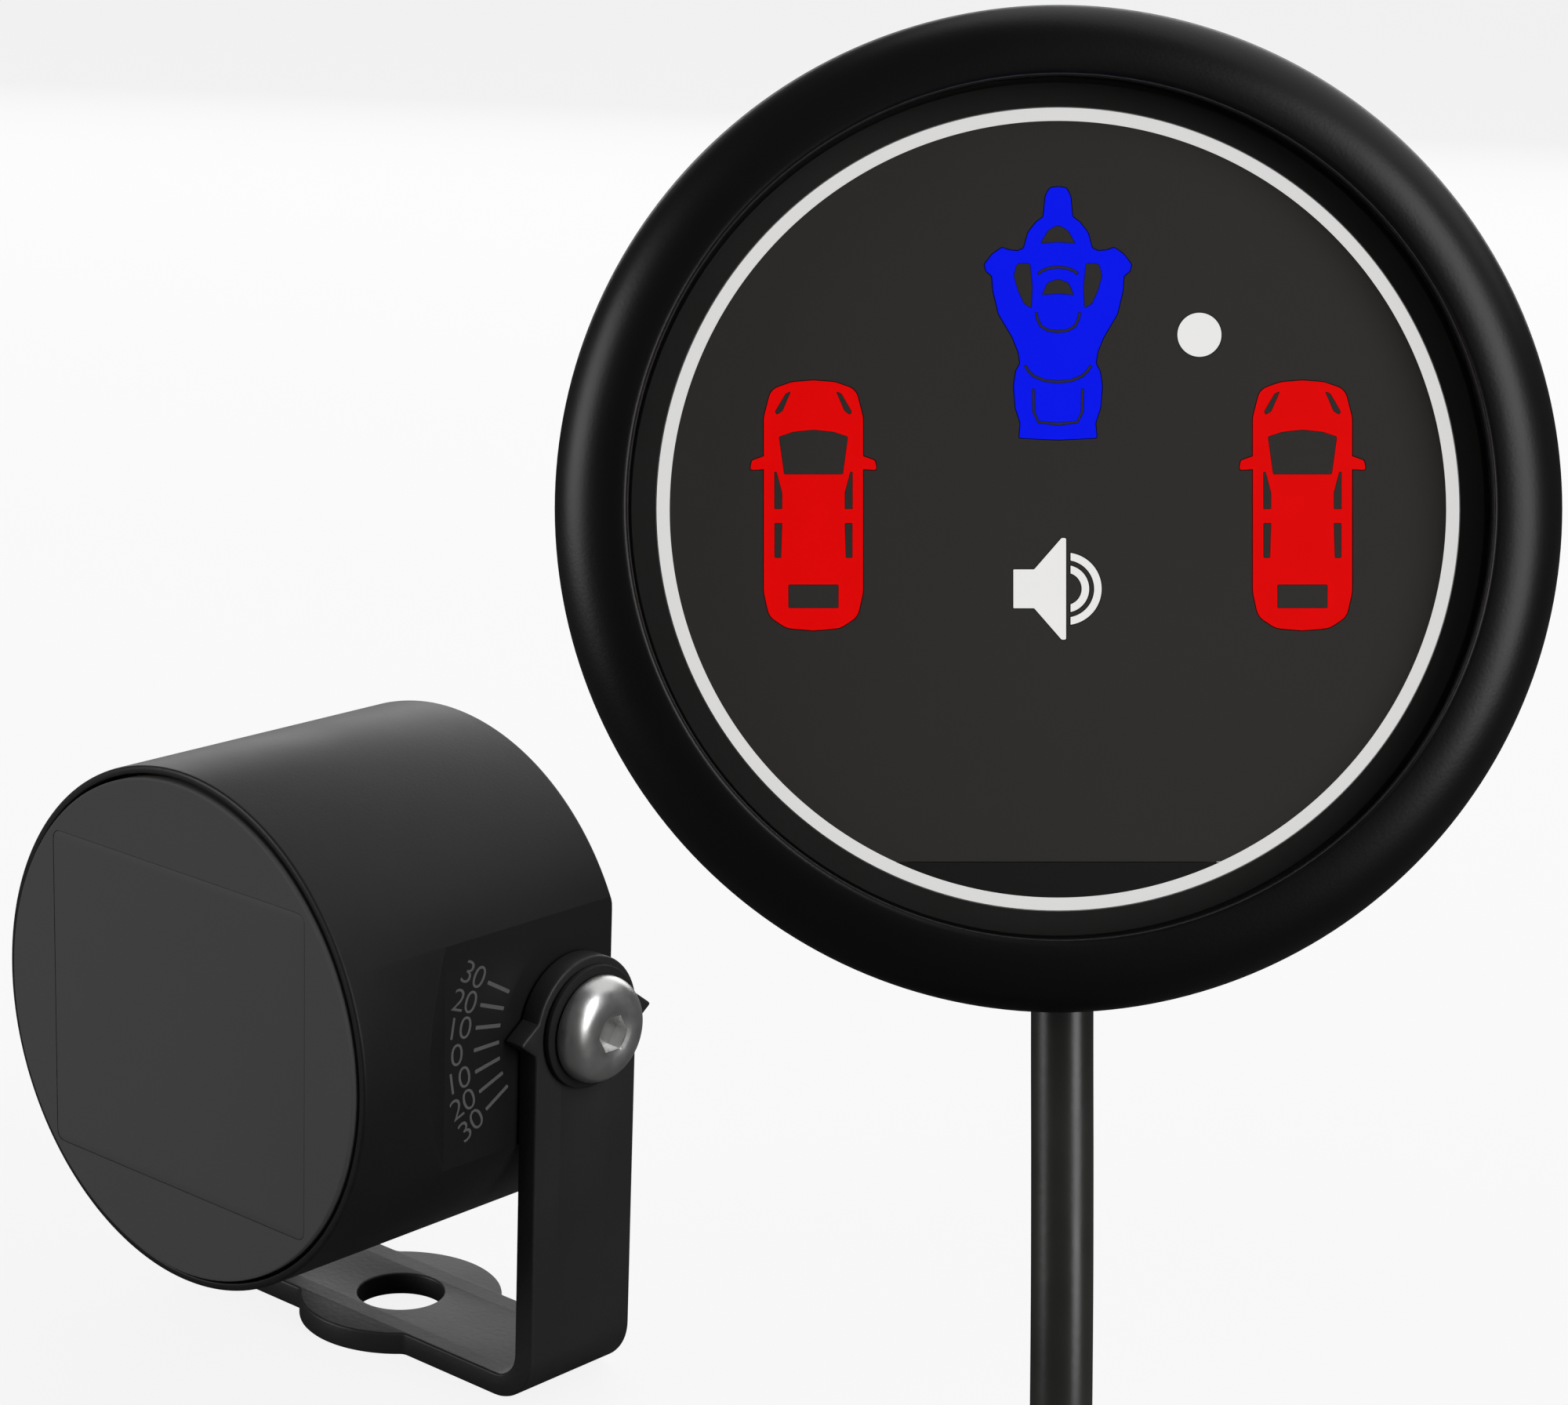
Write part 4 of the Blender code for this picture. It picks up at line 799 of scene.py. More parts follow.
def lit_finish(name, colour, strength, uneven=0.04):
    """A backlit window: a diffusing plastic that glows a little unevenly."""
    found = bpy.data.materials.get(name)
    if found:
        return found
    made = bpy.data.materials.new(name)
    made.use_nodes = True
    tree = made.node_tree
    shader = tree.nodes["Principled BSDF"]
    made.diffuse_color = (*colour, 1.0)
    surface = place_group(tree, grain_group(), {"Scale": 5200.0, "Cloud Scale": 420.0})
    glow = blend_colour(tree, surface.outputs["Cloud"], lighter(colour, -uneven), lighter(colour, uneven))
    base = blend_colour(tree, surface.outputs["Speckle"], lighter(colour, -0.96), lighter(colour, -0.92))
    tree.links.new(glow, shader.inputs["Emission Color"])
    tree.links.new(base, shader.inputs["Base Color"])
    rough = math_node(tree, "ADD", math_node(tree, "MULTIPLY", surface.outputs["Cloud"], 0.15), 0.40)
    tree.links.new(rough, shader.inputs["Roughness"])
    shader.inputs["Emission Strength"].default_value = strength
    shader.inputs["Specular IOR Level"].default_value = 0.1
    bump = tree.nodes.new("ShaderNodeBump")
    bump.inputs["Distance"].default_value = 0.004 * MM
    tree.links.new(surface.outputs["Height"], bump.inputs["Height"])
    tree.links.new(bump.outputs["Normal"], shader.inputs["Normal"])
    return made


def clear_finish():
    """The clear lens: what is behind it shows, with a little gloss at its surface."""
    name = "clear lens"
    found = bpy.data.materials.get(name)
    if found:
        return found
    made = bpy.data.materials.new(name)
    made.use_nodes = True
    tree = made.node_tree
    shader = tree.nodes["Principled BSDF"]
    surface = place_group(tree, grain_group(), {"Scale": 900.0, "Cloud Scale": 60.0})
    base = blend_colour(tree, surface.outputs["Cloud"], (0.010, 0.010, 0.010), (0.014, 0.014, 0.014))
    tree.links.new(base, shader.inputs["Base Color"])
    rough = math_node(tree, "ADD", math_node(tree, "MULTIPLY", surface.outputs["Cloud"], 0.05), 0.08)
    tree.links.new(rough, shader.inputs["Roughness"])
    shader.inputs["Alpha"].default_value = 0.10
    return made


def finishes():
    """Every finish that is used by more than one piece, by a short name."""
    colours = bpy.context.scene.radar_colours
    return {
        "paint": finish_of(
            "black bracket paint", tuple(colours.paint), 0.46, specular=0.42, grain=2600.0, depth=0.022,
            mottle=0.18, uneven=0.08, wear=0.30, worn=(0.10, 0.10, 0.10), dust=0.05,
        ),
        "anodised": finish_of(
            "black anodised pod", tuple(colours.anodised), 0.42, specular=0.35, grain=5200.0, depth=0.010,
            mottle=0.15, uneven=0.06, wear=0.22, worn=(0.10, 0.10, 0.10), dust=0.03,
        ),
        "bezel": finish_of(
            "black anodised bezel", tuple(colours.bezel), 0.36, specular=0.32, grain=6000.0, depth=0.006,
            mottle=0.12, uneven=0.05, wear=0.10, worn=(0.08, 0.08, 0.08),
        ),
        "radome": finish_of(
            "radome plastic", tuple(colours.radome), 0.62, specular=0.25, grain=4200.0, depth=0.012,
            mottle=0.05, uneven=0.05, cloud=60.0,
        ),
        "plastic": finish_of(
            "moulded black plastic", (0.018, 0.018, 0.018), 0.55, specular=0.4, grain=3600.0, depth=0.03,
            mottle=0.15, uneven=0.08, wear=0.12, worn=(0.06, 0.06, 0.06), dust=0.04,
        ),
        "rubber": finish_of(
            "black rubber", (0.013, 0.013, 0.013), 0.72, specular=0.3, grain=4800.0, depth=0.02,
            mottle=0.25, uneven=0.10, dust=0.08,
        ),
        "orange": finish_of(
            "orange silicone seal", (0.62, 0.17, 0.03), 0.50, grain=2600.0, depth=0.01, mottle=0.12,
        ),
        "steel": finish_of(
            "bright steel", (0.80, 0.80, 0.79), 0.34, metallic=1.0, grain=5200.0, depth=0.006,
            mottle=0.12, uneven=0.14, cloud=500.0,
        ),
        "tin": finish_of(
            "tinned steel", (0.52, 0.53, 0.54), 0.34, metallic=1.0, grain=3000.0, depth=0.012, mottle=0.12,
        ),
        "brass": finish_of(
            "turned brass", (0.56, 0.40, 0.16), 0.32, metallic=1.0, grain=4200.0, depth=0.010, mottle=0.14,
        ),
        "board": finish_of(
            "green circuit board", (0.010, 0.085, 0.030), 0.42, grain=2400.0, depth=0.015,
            mottle=0.35, cloud=600.0,
        ),
        "chip": finish_of(
            "black chip", (0.020, 0.020, 0.021), 0.50, grain=6400.0, depth=0.015, mottle=0.20,
        ),
        "lamp": finish_of(
            "white light chip", (0.72, 0.68, 0.42), 0.38, grain=4200.0, depth=0.008, mottle=0.10,
        ),
        "mask": finish_of(
            "black mask", (0.0300, 0.0295, 0.0280), 0.45, specular=0.3, grain=5200.0, depth=0.006,
            mottle=0.12,
        ),
        "foam": finish_of(
            "adhesive foam", (0.030, 0.030, 0.030), 0.92, specular=0.2, grain=2200.0, depth=0.08,
            mottle=0.35, uneven=0.05,
        ),
        "jacket": finish_of(
            "cable jacket", tuple(colours.jacket), 0.34, specular=0.60, grain=2600.0, depth=0.008,
            mottle=0.20, uneven=0.08, cloud=220.0, dust=0.02,
        ),
        "insert": finish_of(
            "grey plug insert", (0.10, 0.10, 0.105), 0.52, grain=3600.0, depth=0.012, mottle=0.12,
        ),
        "marks": finish_of(
            "engraved scale marks", (0.145, 0.145, 0.145), 0.62, specular=0.3, grain=6400.0, depth=0.012,
            mottle=0.20, uneven=0.08,
        ),
        "red": lit_finish("lit red window", tuple(colours.red), 1.0),
        "blue": lit_finish("lit blue window", tuple(colours.blue), 1.0),
        "white": lit_finish("lit white window", tuple(colours.white), 1.0, 0.02),
        "ring": lit_finish("lit white ring", tuple(colours.ring), 1.0, 0.02),
        "clear": clear_finish(),
    }


# ---------------------------------------------------------------- bracket


# In the arms and in the washers, for the pivot screws.
SCREW_HOLE = 2.8


def blank_outline(strip, eye, pivot_at):
    """The bracket's flat blank: round heads with pointers, strip and eye. u runs along it, v across."""
    half = strip / 2.0
    tip, shoulder, spread = 8.1, 1.38, 1.52
    corner = math.sqrt(eye * eye - half * half)
    start = math.degrees(math.atan2(half, corner))
    head = math.degrees(math.atan2(math.sqrt(half * half - spread * spread), spread))
    quarter = arc(eye, 90.0, start + 5.0, 14)
    quarter += softened([quarter[-1], (corner, half, 1.1), (corner + 3.0, half)], closed=False)[1:-1]
    quarter += [(pivot_at - shoulder - 0.5, half), (pivot_at - shoulder, half + 0.05)]
    quarter += softened([(pivot_at - 0.7, 7.15), (pivot_at, tip, 0.25), (pivot_at + 0.7, 7.15)], False, 3)
    quarter += arc(half, head, 0.0, 16, (pivot_at, 0.0))
    right = quarter + [(u, -v) for u, v in reversed(quarter[:-1])]
    left = [(-u, v) for u, v in reversed(right[1:-1])]
    return right + left


def bent(mesh, start, bend, sheet, neutral):
    """The flat blank folded up at both ends, each end round one bend."""
    quarter = neutral * math.pi / 2.0
    for vertex in mesh.vertices:
        u, v, w = vertex.co
        beyond = abs(u) - start
        if beyond <= 0.0:
            continue
        side = 1.0 if u > 0.0 else -1.0
        if beyond < quarter:
            angle = beyond / neutral
            reach = bend - w
            vertex.co = (side * (start + reach * math.sin(angle)), v, bend - reach * math.cos(angle))
        else:
            vertex.co = (side * (start + bend - w), v, bend + beyond - quarter)
    mesh.update()
    return mesh


class RADAR_OT_bracket(bpy.types.Operator):
    """Build the bent U-bracket from its flat blank"""

    bl_idname = "radar_set.bracket"
    bl_label = "Bracket"

    def execute(self, context):
        sizes = context.scene.radar_bracket
        sheet, strip, bend = mm(sizes.sheet), mm(sizes.strip), mm(sizes.bend)
        arm_outer = mm(extent("bracket", 0)) / 2.0
        start = arm_outer - bend
        neutral = bend - sheet / 2.0
        pivot_at = start + neutral * math.pi / 2.0 + mm(PIVOT.z) - bend
        outlines = [blank_outline(strip, mm(sizes.eye), pivot_at), ring_of(mm(sizes.eye_hole), 96)]
        outlines += [ring_of(SCREW_HOLE, 48, (side * pivot_at, 0.0)) for side in (-1.0, 1.0)]
        flat = plate("bracket", outlines, 0.0, sheet, mm(sizes.edge))
        work = bmesh.new()
        work.from_mesh(flat)
        steps = 18
        for side in (-1.0, 1.0):
            for step in range(steps + 1):
                place = side * (start + neutral * math.pi / 2.0 * step / steps)
                everything = work.verts[:] + work.edges[:] + work.faces[:]
                cut_at = (place, 0.0, 0.0)
                bmesh.ops.bisect_plane(work, geom=everything, plane_co=cut_at, plane_no=(1.0, 0.0, 0.0))
        mesh = bent(from_bmesh("bracket", work), start, bend, sheet, neutral)
        settle(mesh, Matrix())
        present("bracket_sheet", mesh, FIXED, [finishes()["paint"]], ["bracket"])
        return {"FINISHED"}


# ---------------------------------------------------------------- radar pod

# Along the pod's axis, heights are from the middle of its length, and the radome is at the top.
POD_HALF = mm(POD_BACK_Y - POD_FRONT_Y) / 2.0
RADOME_PROUD = 0.45
HOUSING_FRONT = POD_HALF - RADOME_PROUD
RADOME_RADIUS = mm(extent("radome", 2)) / 2.0
RADOME_BACK = POD_HALF - mm(extent("radome", 1))
RADOME_SEAT = POD_HALF - 2.8
COVER_FRONT = 2.0 - POD_HALF
COVER_SEAT = COVER_FRONT + 1.2
RAMP_START = 14.9
RAMP_SLOPE = 4.0 / 2.3
SIDE_WALL = 2.2
SIDE_BLOCK = 7.7
FRONT_CHAMBER = 17.0
INSERT_RADIUS = 4.1
INSERT_DEPTH = 5.4
POST_RADIUS = 2.6
WINDOW_HALF = (16.2, 14.4)
LABEL_RADIUS = 13.5
CHAMBER = 20.5
COVER_SEAT_RADIUS = CHAMBER + 1.3
COVER_SEAT_HALF = 14.3
REAR_SCREW_HOLE = 1.55
PIVOT_ALONG = mm(-PIVOT.y + (POD_BACK_Y + POD_FRONT_Y) / 2.0)


def rear_screw_places():
    """The four rear screws' places across the pod."""
    made = []
    for number in range(1, 5):
        centre = middle(f"rear_screw_{number}")
        made.append((mm(centre.x), mm(centre.z - PIVOT.z)))
    return made


def side_frame(side, out):
    """A frame on a side flat at the tilt axis: x across, y up, z outwards."""
    facing = Matrix(((0.0, 0.0, side), (side, 0.0, 0.0), (0.0, 1.0, 0.0))).to_4x4()
    return Matrix.Translation(PIVOT) @ facing @ Matrix.Translation((0.0, 0.0, out * MM))


class RADAR_OT_pod(bpy.types.Operator):
    """Build the pod's metal body with its flats, ramps, seats and chambers"""

    bl_idname = "radar_set.pod"
    bl_label = "Pod body"

    def execute(self, context):
        sizes = context.scene.radar_pod
        radius, flat, edge = mm(sizes.radius), mm(sizes.flat), mm(sizes.edge)
        recess = RADOME_RADIUS + 0.3
        profile = [(0.0, -POD_HALF), (radius, -POD_HALF, 0.5), (radius, HOUSING_FRONT, 0.4)]
        profile += [(recess, HOUSING_FRONT, 0.12), (recess, RADOME_SEAT), (0.0, RADOME_SEAT)]
        body = lathe("pod", softened(profile, steps=4), 180)
        over = 2.0
        ahead = PIVOT_ALONG + RAMP_START
        cut = []
        for side in (-1.0, 1.0):
            reach = radius + over
            shape = [(side * flat, -POD_HALF - over), (side * flat, ahead)]
            shape += [(side * reach, ahead + (reach - flat) * RAMP_SLOPE), (side * reach, -POD_HALF - over)]
            tool = plate("flat", [shape], -radius - over, radius + over)
            cut.append(moved(tool, Matrix.Rotation(math.pi / 2.0, 4, "X")))
        body = eased(carved(body, cut), edge, 3, 20.0)
        behind, ahead_of_seat = -POD_HALF - over, RADOME_SEAT + over
        chamber_floor = RADOME_SEAT - FRONT_CHAMBER
        inside = [
            plate("chamber", [flatted(CHAMBER, flat - SIDE_WALL)], chamber_floor, ahead_of_seat),
            plate("back", [flatted(CHAMBER, flat - SIDE_BLOCK)], behind, ahead_of_seat),
            plate("seat", [flatted(COVER_SEAT_RADIUS, COVER_SEAT_HALF)], behind, COVER_SEAT),
        ]
        for side in (-1.0, 1.0):
            deep, out = flat - INSERT_DEPTH, flat + over
            bore = lathe("bore", [(0.0, deep), (INSERT_RADIUS, deep), (INSERT_RADIUS, out), (0.0, out)], 48)
            turn = Matrix.Translation((0.0, 0.0, PIVOT_ALONG)) @ Matrix.Rotation(side * math.pi / 2.0, 4, "Y")
            inside.append(moved(bore, turn))
        body = carved(body, inside)
        low = COVER_SEAT - 0.5
        post = lathe("post", [(0.0, low), (POST_RADIUS, low), (POST_RADIUS, 0.0), (0.0, 0.0)], 32)
        spots = [(*place, 0.0) for place in rear_screw_places()]
        bar = copies_on(post, finishes()["anodised"], spots)
        bore = [(0.0, -POD_HALF), (REAR_SCREW_HOLE, -POD_HALF), (REAR_SCREW_HOLE, -1.0), (0.0, -1.0)]
        hole = lathe("hole", bore, 24)
        holes = copies_on(hole, finishes()["anodised"], spots)
        trim = plate("trim", [flatted(COVER_SEAT_RADIUS, COVER_SEAT_HALF)], behind, COVER_SEAT)
        body = carved(carved(body, [bar], "UNION"), [holes, trim])
        settle(body, POD_PLACE)
        present("pod_body", body, POD, [finishes()["anodised"]], ["pod_housing"], 24.0)
        return {"FINISHED"}


class RADAR_OT_radome(bpy.types.Operator):
    """Build the flat front disc with the faint outline of its antenna window"""

    bl_idname = "radar_set.radome"
    bl_label = "Radome"

    def execute(self, context):
        radius = RADOME_RADIUS
        step = 0.05
        wide, high = WINDOW_HALF
        corners = [(-wide, -high), (wide, -high), (wide, high), (-wide, high)]
        window = softened([(*corner, 1.0) for corner in corners])
        rim = ring_of(radius - 0.3, 160)
        front = plate("front", [rim, window], POD_HALF - 0.4, POD_HALF, 0.0)
        middle_plate = plate("window", [grown(window, -step)], POD_HALF - 0.4, POD_HALF - 0.5 * step, 0.02)
        profile = [(0.0, RADOME_BACK), (radius, RADOME_BACK, 0.1), (radius, POD_HALF, 0.25)]
        profile += [(radius - 0.3, POD_HALF), (radius - 0.3, POD_HALF - 0.39), (0.0, POD_HALF - 0.39)]
        disc = lathe("disc", softened(profile, steps=4), 160)
        mesh = settle(joined("radome", [(disc, 0), (front, 0), (middle_plate, 0)]), POD_PLACE)
        present("radome_disc", mesh, POD, [finishes()["radome"]], ["radome"])
        return {"FINISHED"}


class RADAR_OT_scale(bpy.types.Operator):
    """Mark the tilt scale on both side flats: seven ticks and their numbers"""

    bl_idname = "radar_set.scale"
    bl_label = "Tilt scale"

    def execute(self, context):
        sizes = context.scene.radar_pod
        inner, outer = mm(sizes.tick_inner), mm(sizes.tick_outer)
        proud, step = 0.02, 10
        tick_half = 0.17
        parts = []
        for side in (-1.0, 1.0):
            frame_here = side_frame(side, mm(sizes.flat))
            ahead = 180.0 if side > 0.0 else 0.0
            bar = softened([(inner, -tick_half, 0.1), (outer, -tick_half, 0.1), (outer, tick_half, 0.1),
                            (inner, tick_half, 0.1)])
            tick = plate("tick", [bar], -0.05, proud)
            ticks = copies_round(tick, finishes()["marks"], 7, start=ahead - 3 * step, step=step)
            parts.append((settle(ticks, frame_here), 0))
            for number in range(-3, 4):
                label = written(str(abs(number) * step), mm(sizes.digit), 0.05)
                turn = math.radians(ahead + number * step)
                spot = Matrix.Rotation(turn, 4, "Z") @ Matrix.Translation((LABEL_RADIUS, 0.0, proud - 0.025))
                wide = Matrix.Diagonal((1.12, 1.0, 1.0, 1.0))
                upright = Matrix.Rotation(math.radians(ahead), 4, "Z") @ wide
                parts.append((settle(moved(label, spot @ upright), frame_here), 0))
        mesh = joined("scale", parts)
        present("tilt_scale", mesh, POD, [finishes()["marks"]], [])
        return {"FINISHED"}


HEAD_RADIUS = 4.75
HEAD_END = 2.72
SOCKET_ACROSS = 3.0


def button_head(base, top, radius, end, tip, socket_across):
    """A button-head screw along local Z, with a hex socket in its end face."""
    rim = 0.35
    profile = [(0.0, tip), (2.2, tip), (2.5, tip + 0.3), (2.5, base)]
    profile += [(radius, base, 0.12), (radius, base + rim, 0.1)]
    for step in range(1, 12):
        share = step / 12.0 * math.pi / 2.0
        width = end + (radius - end) * math.cos(share)
        profile.append((width, base + rim + (top - base - rim) * math.sin(share)))
    profile += [(end, top), (1.95, top), (1.72, top - 0.14), (0.0, top - 0.14)]
    screw = lathe("screw", softened(profile, steps=3), 96)
    hexagon = ring_of(socket_across / math.sqrt(3.0), 6)
    socket = plate("socket", [hexagon], top - 1.5, top + 1.0)
    return carved(screw, [socket])


class RADAR_OT_pivots(bpy.types.Operator):
    """Build the two pivot screws and the washers under their heads"""

    bl_idname = "radar_set.pivots"
    bl_label = "Pivot screws"

    def execute(self, context):
        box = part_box("pivot_screw_right")
        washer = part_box("pivot_washer_right")
        low, high = mm(washer[0].x), mm(washer[1].x)
        base, top, tip = high + 0.2, mm(box[1].x), mm(box[0].x)
        outer = mm(extent("pivot_washer_right", 2)) / 2.0
        heads, rings = [], []
        for side in (-1.0, 1.0):
            turn = side_frame(side, 0.0)
            screw = button_head(base, top, HEAD_RADIUS, HEAD_END, tip, SOCKET_ACROSS)
            heads.append((settle(screw, turn), 0))
            profile = [(SCREW_HOLE, low, 0.08), (outer, low, 0.1)]
            profile += [(outer, high, 0.15), (SCREW_HOLE, high, 0.08)]
            rings.append((settle(lathe("washer", softened(profile, steps=3), 96), turn), 0))
        looks = finishes()
        screws = ["pivot_screw_left", "pivot_screw_right"]
        washers = ["pivot_washer_left", "pivot_washer_right"]
        present("pivot_screws", joined("screws", heads), POD, [looks["steel"]], screws)
        present("pivot_washers", joined("washers", rings), POD, [looks["rubber"]], washers)
        return {"FINISHED"}


class RADAR_OT_pod_back(bpy.types.Operator):
    """Build the rear cover, its four screws and the rubber gland"""

    bl_idname = "radar_set.pod_back"
    bl_label = "Pod back"

    def execute(self, context):
        places = rear_screw_places()
        outlines = [flatted(CHAMBER + 1.0, 14.0), ring_of(4.3, 64)]
        outlines += [ring_of(REAR_SCREW_HOLE, 32, place) for place in places]
        cover = plate("cover", outlines, -POD_HALF, COVER_FRONT, 0.25)
        settle(cover, POD_PLACE)
        present("pod_rear_cover", cover, POD, [finishes()["plastic"]], ["rear_cover"])
        under = -POD_HALF - 0.2
        profile = [(0.0, under - 1.5), (1.3, under - 1.5, 0.4), (2.2, under - 0.6, 0.5), (2.2, under, 0.1)]
        profile += [(1.25, under), (1.25, under + 6.2), (0.0, under + 6.2)]
        head = lathe("rear_screw", softened(profile, steps=4), 48)
        half = [(0.0, 1.25), (0.2, 1.25), (0.2, 0.2), (1.25, 0.2), (1.25, -0.2), (0.2, -0.2), (0.2, -1.25)]
        half.append((0.0, -1.25))
        cross = plate("cross", [mirrored(half)], under - 2.5, under - 0.7)
        head = carved(head, [cross])
        four = copies_on(head, finishes()["steel"], [(*place, 0.0) for place in places])
        settle(four, POD_PLACE)
        names = [f"rear_screw_{number}" for number in range(1, 5)]
        present("pod_rear_screws", four, POD, [finishes()["steel"]], names)
        tail = under - 8.0
        profile = [(2.2, COVER_FRONT + 1.2), (2.2, tail, 0.2), (3.0, tail, 0.3), (3.9, under - 1.6, 0.4)]
        profile += [(6.0, under - 1.5, 0.4), (6.0, under, 0.1), (4.0, under), (4.0, COVER_FRONT + 0.2)]
        profile += [(5.0, COVER_FRONT + 0.2), (5.0, COVER_FRONT + 1.2)]
        gland = lathe("gland", softened(profile, steps=3), 80)
        profile = [(2.9, -0.35, 0.1), (4.0, -0.35, 0.3), (4.0, 0.35, 0.3), (2.9, 0.35, 0.1)]
        rib = lathe("rib", softened(profile), 64)
        ribs = copies_round(rib, finishes()["rubber"], 4, rise=1.35)
        moved(ribs, Matrix.Translation((0.0, 0.0, tail + 1.6)))
        rubber = settle(joined("gland", [(gland, 0), (ribs, 0)]), POD_PLACE)
        present("pod_gland", rubber, POD, [finishes()["rubber"]], ["pod_cable_gland"])
        return {"FINISHED"}


# ---------------------------------------------------------------- display

LENS_FRONT = 1.2
PANEL_FRONT = -0.3
PANEL_BACK = -0.7
GUIDE_BACK = -1.9
BORE = 26.5


class RADAR_OT_bezel(bpy.types.Operator):
    """Build the bezel ring and the clear lens under its lip"""

    bl_idname = "radar_set.bezel"
    bl_label = "Bezel and lens"

    def execute(self, context):
        sizes = context.scene.radar_display
        radius, opening, rise = mm(sizes.radius), mm(sizes.opening), mm(sizes.rise)
        start, end = Vector((radius, 0.15)), Vector((opening + 0.75, rise))
        bulge = (start + end) / 2.0 + Vector((0.75, 0.95))
        crown = []
        for step in range(13):
            t = step / 12.0
            crown.append(tuple(start * (1 - t) ** 2 + bulge * 2 * t * (1 - t) + end * t * t))
        profile = [(BORE, -4.0), (radius, -4.0, 0.35), *crown, (opening, rise, 0.35), (opening, 1.4, 0.08)]
        profile += [(BORE, 1.4)]
        ring = settle(lathe("bezel", softened(profile, steps=5), 240), DISPLAY_PLACE)
        present("display_bezel", ring, FIXED, [finishes()["bezel"]], ["bezel"])
        profile = [(0.0, -0.1), (26.2, -0.1, 0.1), (26.2, LENS_FRONT, 0.1), (0.0, LENS_FRONT)]
        glass = settle(lathe("lens", softened(profile, steps=3), 160), DISPLAY_PLACE)
        present("display_lens", glass, FIXED, [finishes()["clear"]], ["lens"])
        return {"FINISHED"}


def car_outlines():
    """The car seen from above: its outline, then its windows and headlights."""
    body = softened(mirrored([
        (0.0, 7.22), (1.24, 7.12, 1.2), (2.45, 6.70, 0.9), (2.86, 5.08, 1.5), (2.86, 2.85),
        (3.55, 2.60, 0.2), (3.66, 2.05, 0.15), (2.86, 2.10), (2.86, -5.00, 2.0), (2.55, -6.40, 1.0),
        (1.54, -7.07, 1.2), (0.0, -7.20),
    ]))
    windscreen = softened(mirrored([
        (0.0, 4.38), (1.15, 4.26), (2.00, 3.98, 0.12), (1.70, 1.80, 0.12), (0.0, 1.80),
    ]))
    rear = softened(mirrored([(0.0, -4.55), (1.45, -4.55, 0.1), (1.45, -5.91, 0.1), (0.0, -5.91)]))
    lamp = softened([
        (1.28, 6.62, 0.1), (1.62, 6.45, 0.1), (2.22, 5.42, 0.1), (2.12, 5.22, 0.1), (1.78, 5.45, 0.1),
    ])
    door = softened([(2.12, 1.95, 0.05), (2.26, 1.95, 0.05), (2.26, -0.20, 0.05), (1.80, -0.20, 0.05),
                     (1.80, 0.75, 0.2)])
    back_door = softened([(1.80, -1.00, 0.06), (2.25, -1.00, 0.06), (2.25, -3.02, 0.1), (1.86, -3.02, 0.1)])
    holes = [windscreen, rear]
    for shape in (lamp, door, back_door):
        holes += [shape, [(-x, y) for x, y in shape]]
    return body, holes


def rider_outlines():
    """A generic rider on a motorcycle seen from above: the outline, then its openings and thin gaps."""
    body = softened(mirrored([
        (0.0, 18.58), (0.48, 18.52, 0.3), (0.72, 18.05, 0.3), (0.84, 16.85, 0.2), (1.25, 16.55, 0.3),
        (1.72, 15.95, 0.4), (1.97, 15.05, 0.2), (2.30, 14.88, 0.2), (2.80, 14.92, 0.2), (3.24, 15.08, 0.2),
        (3.80, 14.68, 0.2), (4.24, 14.10, 0.15), (4.14, 13.72, 0.15), (3.80, 13.45, 0.2), (3.74, 12.60, 0.6),
        (3.42, 11.25, 0.8), (2.62, 9.90, 0.6), (2.28, 9.05, 0.6), (2.18, 8.40, 0.2), (2.42, 7.95, 0.2),
        (2.55, 7.10, 0.5), (2.45, 5.85, 0.6), (2.16, 4.95, 0.2), (2.24, 4.10, 0.12), (0.0, 4.00),
    ]))
    screen = softened([(-1.02, 15.32, 0.06), (-0.58, 16.08, 0.4), (0.0, 16.42, 0.5), (0.58, 16.08, 0.4),
                       (1.02, 15.32, 0.06), (0.0, 15.38, 0.8)])
    visor = softened([(-0.94, 12.34, 0.06), (-0.62, 13.05, 0.3), (0.0, 13.30, 0.5), (0.62, 13.05, 0.3),
                      (0.94, 12.34, 0.06), (0.0, 12.40, 0.8)])
    gap = softened([(1.60, 14.18, 0.15), (2.38, 14.18, 0.3), (2.56, 13.45, 0.4), (2.32, 12.60, 0.5),
                    (1.98, 11.85, 0.3), (1.52, 11.55, 0.1), (1.46, 12.80, 0.5)])
    thin = 0.17
    jaw = [(-1.26, 11.35), (-1.20, 11.00), (-0.98, 10.55), (-0.55, 10.30), (0.0, 10.24)]
    jaw += [(-x, y) for x, y in reversed(jaw[:-1])]
    brow = [(-1.15, 13.55), (-0.90, 13.75), (-0.5, 13.90), (0.0, 13.96)]
    brow += [(-x, y) for x, y in reversed(brow[:-1])]
    back = [(-1.90, 8.30), (-1.70, 7.95), (-1.38, 7.66), (-0.74, 7.40), (0.0, 7.34)]
    back += [(-x, y) for x, y in reversed(back[:-1])]
    seat = [(-1.42, 6.95), (-1.40, 5.60), (-1.12, 5.02), (0.0, 4.90)]
    seat += [(-x, y) for x, y in reversed(seat[:-1])]
    gaps = [slot_along(path, thin) for path in (jaw, brow, back, seat)]
    return body, [screen, visor, gap, [(-x, y) for x, y in gap], *gaps]


def wave_outline(radius, width, start):
    """One arc of the speaker's sound, cut off straight at its left."""
    outer, inner = (math.degrees(math.acos(start / reach)) for reach in (radius + width, radius))
    return arc(radius + width, -outer, outer, 28) + arc(radius, inner, -inner, 28)


